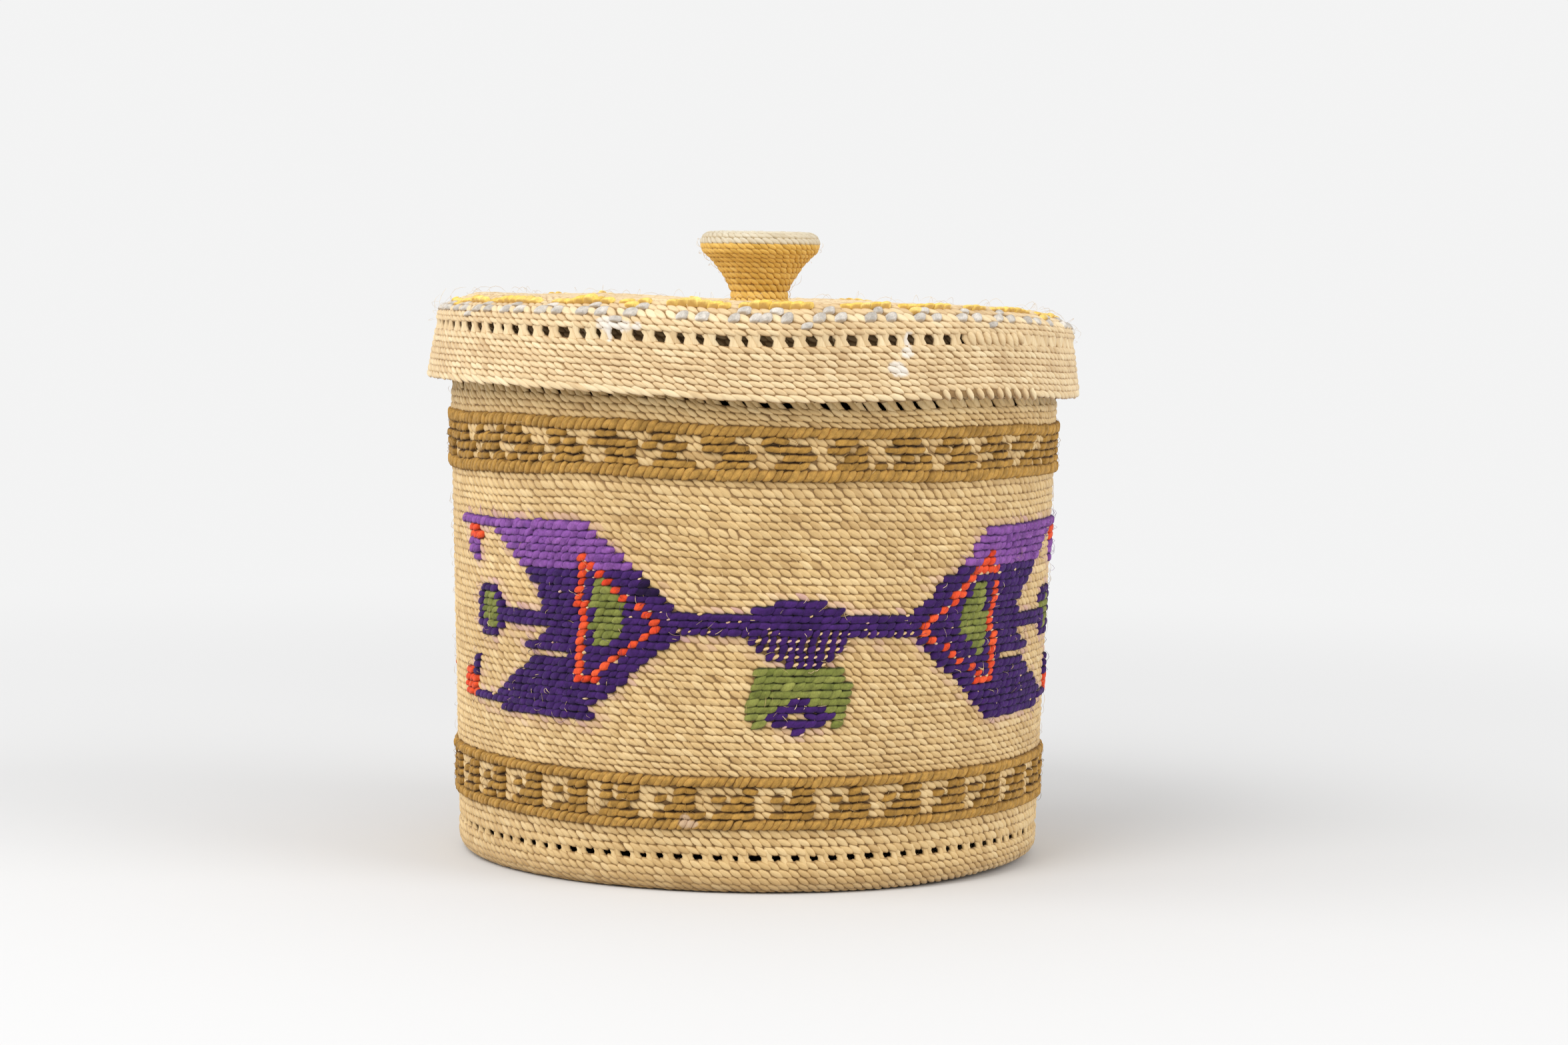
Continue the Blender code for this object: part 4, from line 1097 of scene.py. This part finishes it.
def openwork(name, node, lean, width, waist, closed, *look):
    """Bare warps between two rows, twisted in pairs of flattened round strands that draw in halfway up."""
    (bottom, top), radius = heights(node), round_radius(node)
    pairs = STITCHES // 2
    bpy.ops.mesh.primitive_cylinder_add(vertices=8, radius=0.5, depth=1.0, end_fill_type="TRIFAN")
    leg = bpy.context.object
    for height in (0.25, 0.0, -0.25):
        start_edit()
        bpy.ops.mesh.bisect(plane_co=(0, 0, height), plane_no=(0, 0, 1))
    bpy.ops.object.mode_set(mode="OBJECT")
    shape = np.array([vert.co for vert in leg.data.vertices])
    faces = flatten([list(face.vertices) for face in leg.data.polygons])
    bpy.data.objects.remove(leg, do_unlink=True)
    pitch = TURN / pairs
    middle = (np.arange(pairs) + random.normal(0, 0.07, pairs)) * pitch
    drawn = np.full(pairs, waist)
    turns = front_turn(middle)
    for start, end, drawn_in in closed:
        drawn[(turns > start) & (turns < end)] = drawn_in
    middle, drawn = np.repeat(middle, 2)[:, None], np.repeat(drawn, 2)[:, None]
    hand = np.tile((-1, 1), pairs)[:, None]
    height = top - bottom + LEG_OVERLAP
    narrow = 1 - (1 - drawn) * np.cos(math.pi * shape[:, 2]) ** 2
    across = hand * LEG_APART * np.cos(shape[:, 2] * LEG_TWIST) + shape[:, 0] * LEG_WIDE
    azimuth = middle + (across * width * narrow - lean * shape[:, 2]) * pitch
    z = (bottom + top) / 2 + shape[:, 2] * height + np.zeros_like(azimuth)
    deep = radius - LEG_SUNK - shape[:, 1] * LEG_DEPTH + hand * LEG_CROSSING * np.sin(shape[:, 2] * 3)
    turn = np.arctan2(shape[:, 1], shape[:, 0]) / TURN
    flat = 0.5 + 0.44 * np.stack((turn * 2, shape[:, 2] * 2), -1)
    strand = np.stack((z * 1000, azimuth * radius * 1000), -1)
    # Painted shade: the strands darken towards their ends, where they go in under the courses, and at their
    # sides.
    edge = shape[:, 2] ** 2 * 1.6 + (shape[:, 0] * 2) ** 4 * 0.5
    values = {"tone": random.normal(0.5, 0.15, 2 * pairs)[:, None], "edge": edge}
    join_copies(name, turned(deep, azimuth, z), faces, flat, strand, values, *look, node)


openwork("lower_bare_warps", "lower_openwork", 0.30, 0.95, 0.52, (), *ON_BASKET)
openwork("upper_bare_warps", "upper_openwork", 0.70, 0.9, 0.72, UPPER_CLOSED, *ON_BASKET)
openwork("lid_bare_warps", "lid_openwork", 0.28, 1.02, 0.46, LID_CLOSED, *ON_LID)

# Long slanting stitches that draw the lid's openings together
mend = np.zeros(8, SPOT)
mend["azimuth"] = np.radians(np.linspace(39.5, 53, len(mend)) + vary(0.3, mend))
mend["radius"] = lid_radius
mend["z"] = (open_low + open_high) / 2 + 0.0002 + vary(0.0002, mend)
mend["wide"], mend["tall"] = 0.0020, 0.0022
mend["thick"], mend["sunk"] = 0.0011, 0.0006
mend["spin"] = -0.35 + vary(0.08, mend)
mend["tone"] = 0.55
lay("lid_mend", GRAIN, mend, *ON_LID, "lid_openwork")
hairs("lid_fibres", some(shoulder_spots, 170), 0.0040, 0.00003, 0.0013, *ON_LID, "lid_shoulder_courses")

# Dried white splashes on the lid, and worn places in the lower band. Each has its turn from the front in
# radians, and in millimetres its height over the foot of the openwork or band, half its width and half its
# height
SPLASHES = (
    (-0.448, 3.1, 2.3, 1.7), (-0.412, 2.9, 2.6, 1.3), (-0.438, 1.2, 0.7, 1.6), (-0.352, 2.9, 1.1, 0.9),
    (0.462, 1.2, 0.9, 1.7), (0.458, -1.2, 1.4, 1.3), (0.425, -3.9, 1.9, 1.4), (0.443, -4.4, 1.2, 1.2),
)
WORN = ((-0.200, 1.7, 1.2, 1.5), (-0.178, 1.2, 1.3, 0.8))
SPLASH_WHITE, WORN_BROWN = (0.76, 0.71, 0.64), (0.56, 0.40, 0.27)
RAGGED_FINE = 700.0  # patches in a metre
# Where a splash fades, in half widths, and how much it hides
SPLASH_START, SPLASH_END, SPLASH_COVER = 0.65, 1.2, 0.80


def splash(material, body, radius, foot, places, pale):
    """Makes the material pale in rounds with ragged edges."""
    tree = material.node_tree
    colour = tree.nodes["Principled BSDF"].inputs["Base Color"]
    tint = colour.links[0].from_socket
    place = object_place(tree)
    ragged = add(tree, "MapRange", patches(tree, RAGGED_FINE), 0.0, 1.0, -0.5, 0.5).outputs[0]
    for turn, height, wide, tall in places:
        middle = SHAPES[body](turned(radius, turn, foot + height * 0.001))
        scale = np.array([1000 / wide, 1000 / wide, 1000 / tall])
        moved = add(tree, "Mapping", place, tuple(-middle * scale), None, tuple(scale)).outputs[0]
        far = add(tree, "VectorMath", moved, operation="LENGTH").outputs["Value"]
        far = add(tree, "Math", far, ragged, operation="ADD").outputs[0]
        share = add(tree, "MapRange", far, SPLASH_START, SPLASH_END, SPLASH_COVER, 0.0,
                    interpolation_type="SMOOTHSTEP")
        tint = mix(tree, share.outputs[0], tint, pale)
    tree.links.new(tint, colour)


splash(LID_STRAW, "lid", lid_radius, open_low, SPLASHES, SPLASH_WHITE)
for material in (BROWN, BROWN_LINE):
    splash(material, "basket", wall_radius(band_low[0]) + 0.0004, band_low[0], WORN, WORN_BROWN)

# Knob, in finer stitches
KNOB_STITCH, KNOB_COURSE, KNOB_FINE = 0.00155, 0.00120, 0.72
KNOB_SHIFT = 0.0007  # to the right
KNOB_SIDES = 36
KNOB_NODES = ("knob_stem", "knob_cap")
NECK_RADIUS, NECK_HEIGHT = 0.0058, 0.0016
(stem_low, stem_high), (cap_low, cap_high) = heights("knob_stem"), heights("knob_cap")
flare_radius, cap_radius = round_radius("knob_stem"), round_radius("knob_cap")
neck_z = stem_low + NECK_HEIGHT
knob_low = lid_top - 0.0003
stem_line = [(NECK_RADIUS + 0.0003, knob_low), *(
    (NECK_RADIUS + (flare_radius - NECK_RADIUS) * share**1.28, neck_z + (stem_high - neck_z) * share)
    for share in np.linspace(0, 1, 7)
), (cap_radius - 0.0002, cap_low + 0.0004), (cap_radius, cap_low + 0.0014)]
lip_line = [
    stem_line[-1], (cap_radius - 0.0001, cap_high - 0.0018), (cap_radius - 0.0006, cap_high - 0.0008),
    (cap_radius - 0.0016, cap_high - 0.0002), (cap_radius - 0.004, cap_high), (0.001, cap_high - 0.0005),
]
knob_foot = [(0.001, knob_low), (0.004, knob_low)]
knob_line = stem_line + lip_line[1:]
core("knob_core", knob_line, knob_foot, KNOB_SIDES, KNOB_CORE, "lid", "ochre_straw", *KNOB_NODES)


def knob_courses(line):
    spots = courses(line, width=KNOB_STITCH, height=KNOB_COURSE)
    spots["thick"] *= KNOB_FINE
    spots["sunk"] *= KNOB_FINE
    return spots


lay_many("knob_stem_weft", GRAIN, knob_courses(stem_line), *ON_KNOB, *KNOB_NODES)
lay_many("knob_cap_weft", GRAIN, knob_courses(lip_line), LIP_STRAW, "lid", "lid_straw", "knob_cap")
hairs("knob_fibres", some(knob_courses(stem_line), 130), 0.0022, 0.00003, 0.0005, *ON_KNOB, *KNOB_NODES)
for name in ("knob_core", "knob_stem_weft", "knob_cap_weft", "knob_fibres"):
    bpy.data.objects[name].data.transform(Matrix.Translation((KNOB_SHIFT, 0, 0)))


# Stage and light
FLOOR_RADIUS, FLOOR_GREY = 8, 0.68
GLOW_GREY, GLOW_START, GLOW_END = 0.90, 0.10, 0.6  # the floor turns into a glow away from the basket
LIGHT_STRENGTH, SEEN_STRENGTH = 0.72, 0.90  # of the world, as light and as it is seen
LOOK_AT = Vector((0, 0, 0.06))


def make_floor():
    bpy.ops.mesh.primitive_circle_add(vertices=64, radius=FLOOR_RADIUS, fill_type="NGON")
    floor = bpy.context.object
    floor.name = "floor"
    tree, shader, material = new_material("pale_floor", ROUGH)
    shader.inputs["Base Color"].default_value = (*[FLOOR_GREY] * 3, 1)
    far = add(tree, "VectorMath", object_place(tree), operation="LENGTH").outputs["Value"]
    share = add(tree, "MapRange", far, GLOW_START, GLOW_END, 0.0, 1.0, interpolation_type="SMOOTHSTEP")
    glow = add(tree, "Emission", (*[GLOW_GREY] * 3, 1), 1.0).outputs[0]
    seen = add(tree, "LightPath").outputs["Is Camera Ray"]
    both = add(tree, "Math", share.outputs[0], seen, operation="MULTIPLY").outputs[0]
    mixed = add(tree, "MixShader", both, shader.outputs[0], glow)
    tree.links.new(mixed.outputs[0], tree.nodes["Material Output"].inputs["Surface"])
    floor.data.materials.append(material)


def make_world():
    world = bpy.data.worlds.new("studio")
    bpy.context.scene.world = world
    world.use_nodes = True
    tree = world.node_tree
    background = tree.nodes["Background"]
    rays = add(tree, "LightPath")
    shown = rays.outputs["Is Camera Ray"]
    for kind in ("Is Glossy Ray", "Is Transmission Ray"):
        shown = add(tree, "Math", shown, rays.outputs[kind], operation="MAXIMUM").outputs[0]
    strength = add(tree, "MapRange", shown, 0.0, 1.0, LIGHT_STRENGTH, SEEN_STRENGTH)
    tree.links.new(strength.outputs[0], background.inputs["Strength"])
    background.inputs["Color"].default_value = (1, 1, 1, 1)


def make_lamp(name, place, power, size=0.8):
    data = bpy.data.lights.new(name, "AREA")
    data.shape = "DISK"
    data.size = size
    data.energy = power
    lamp = bpy.data.objects.new(name, data)
    bpy.context.scene.collection.objects.link(lamp)
    place = Vector(place)
    lamp.matrix_world = Matrix.LocRotScale(place, (LOOK_AT - place).to_track_quat("-Z", "Y"), None)


make_floor()
make_world()
make_lamp("key", (-0.55, -0.80, 1.00), 8.8)
make_lamp("left_side", (-1.0, -0.15, 0.55), 3.8)
make_lamp("right_side", (0.95, -0.45, 0.55), 6)
bpy.context.scene.view_settings.view_transform = "Standard"
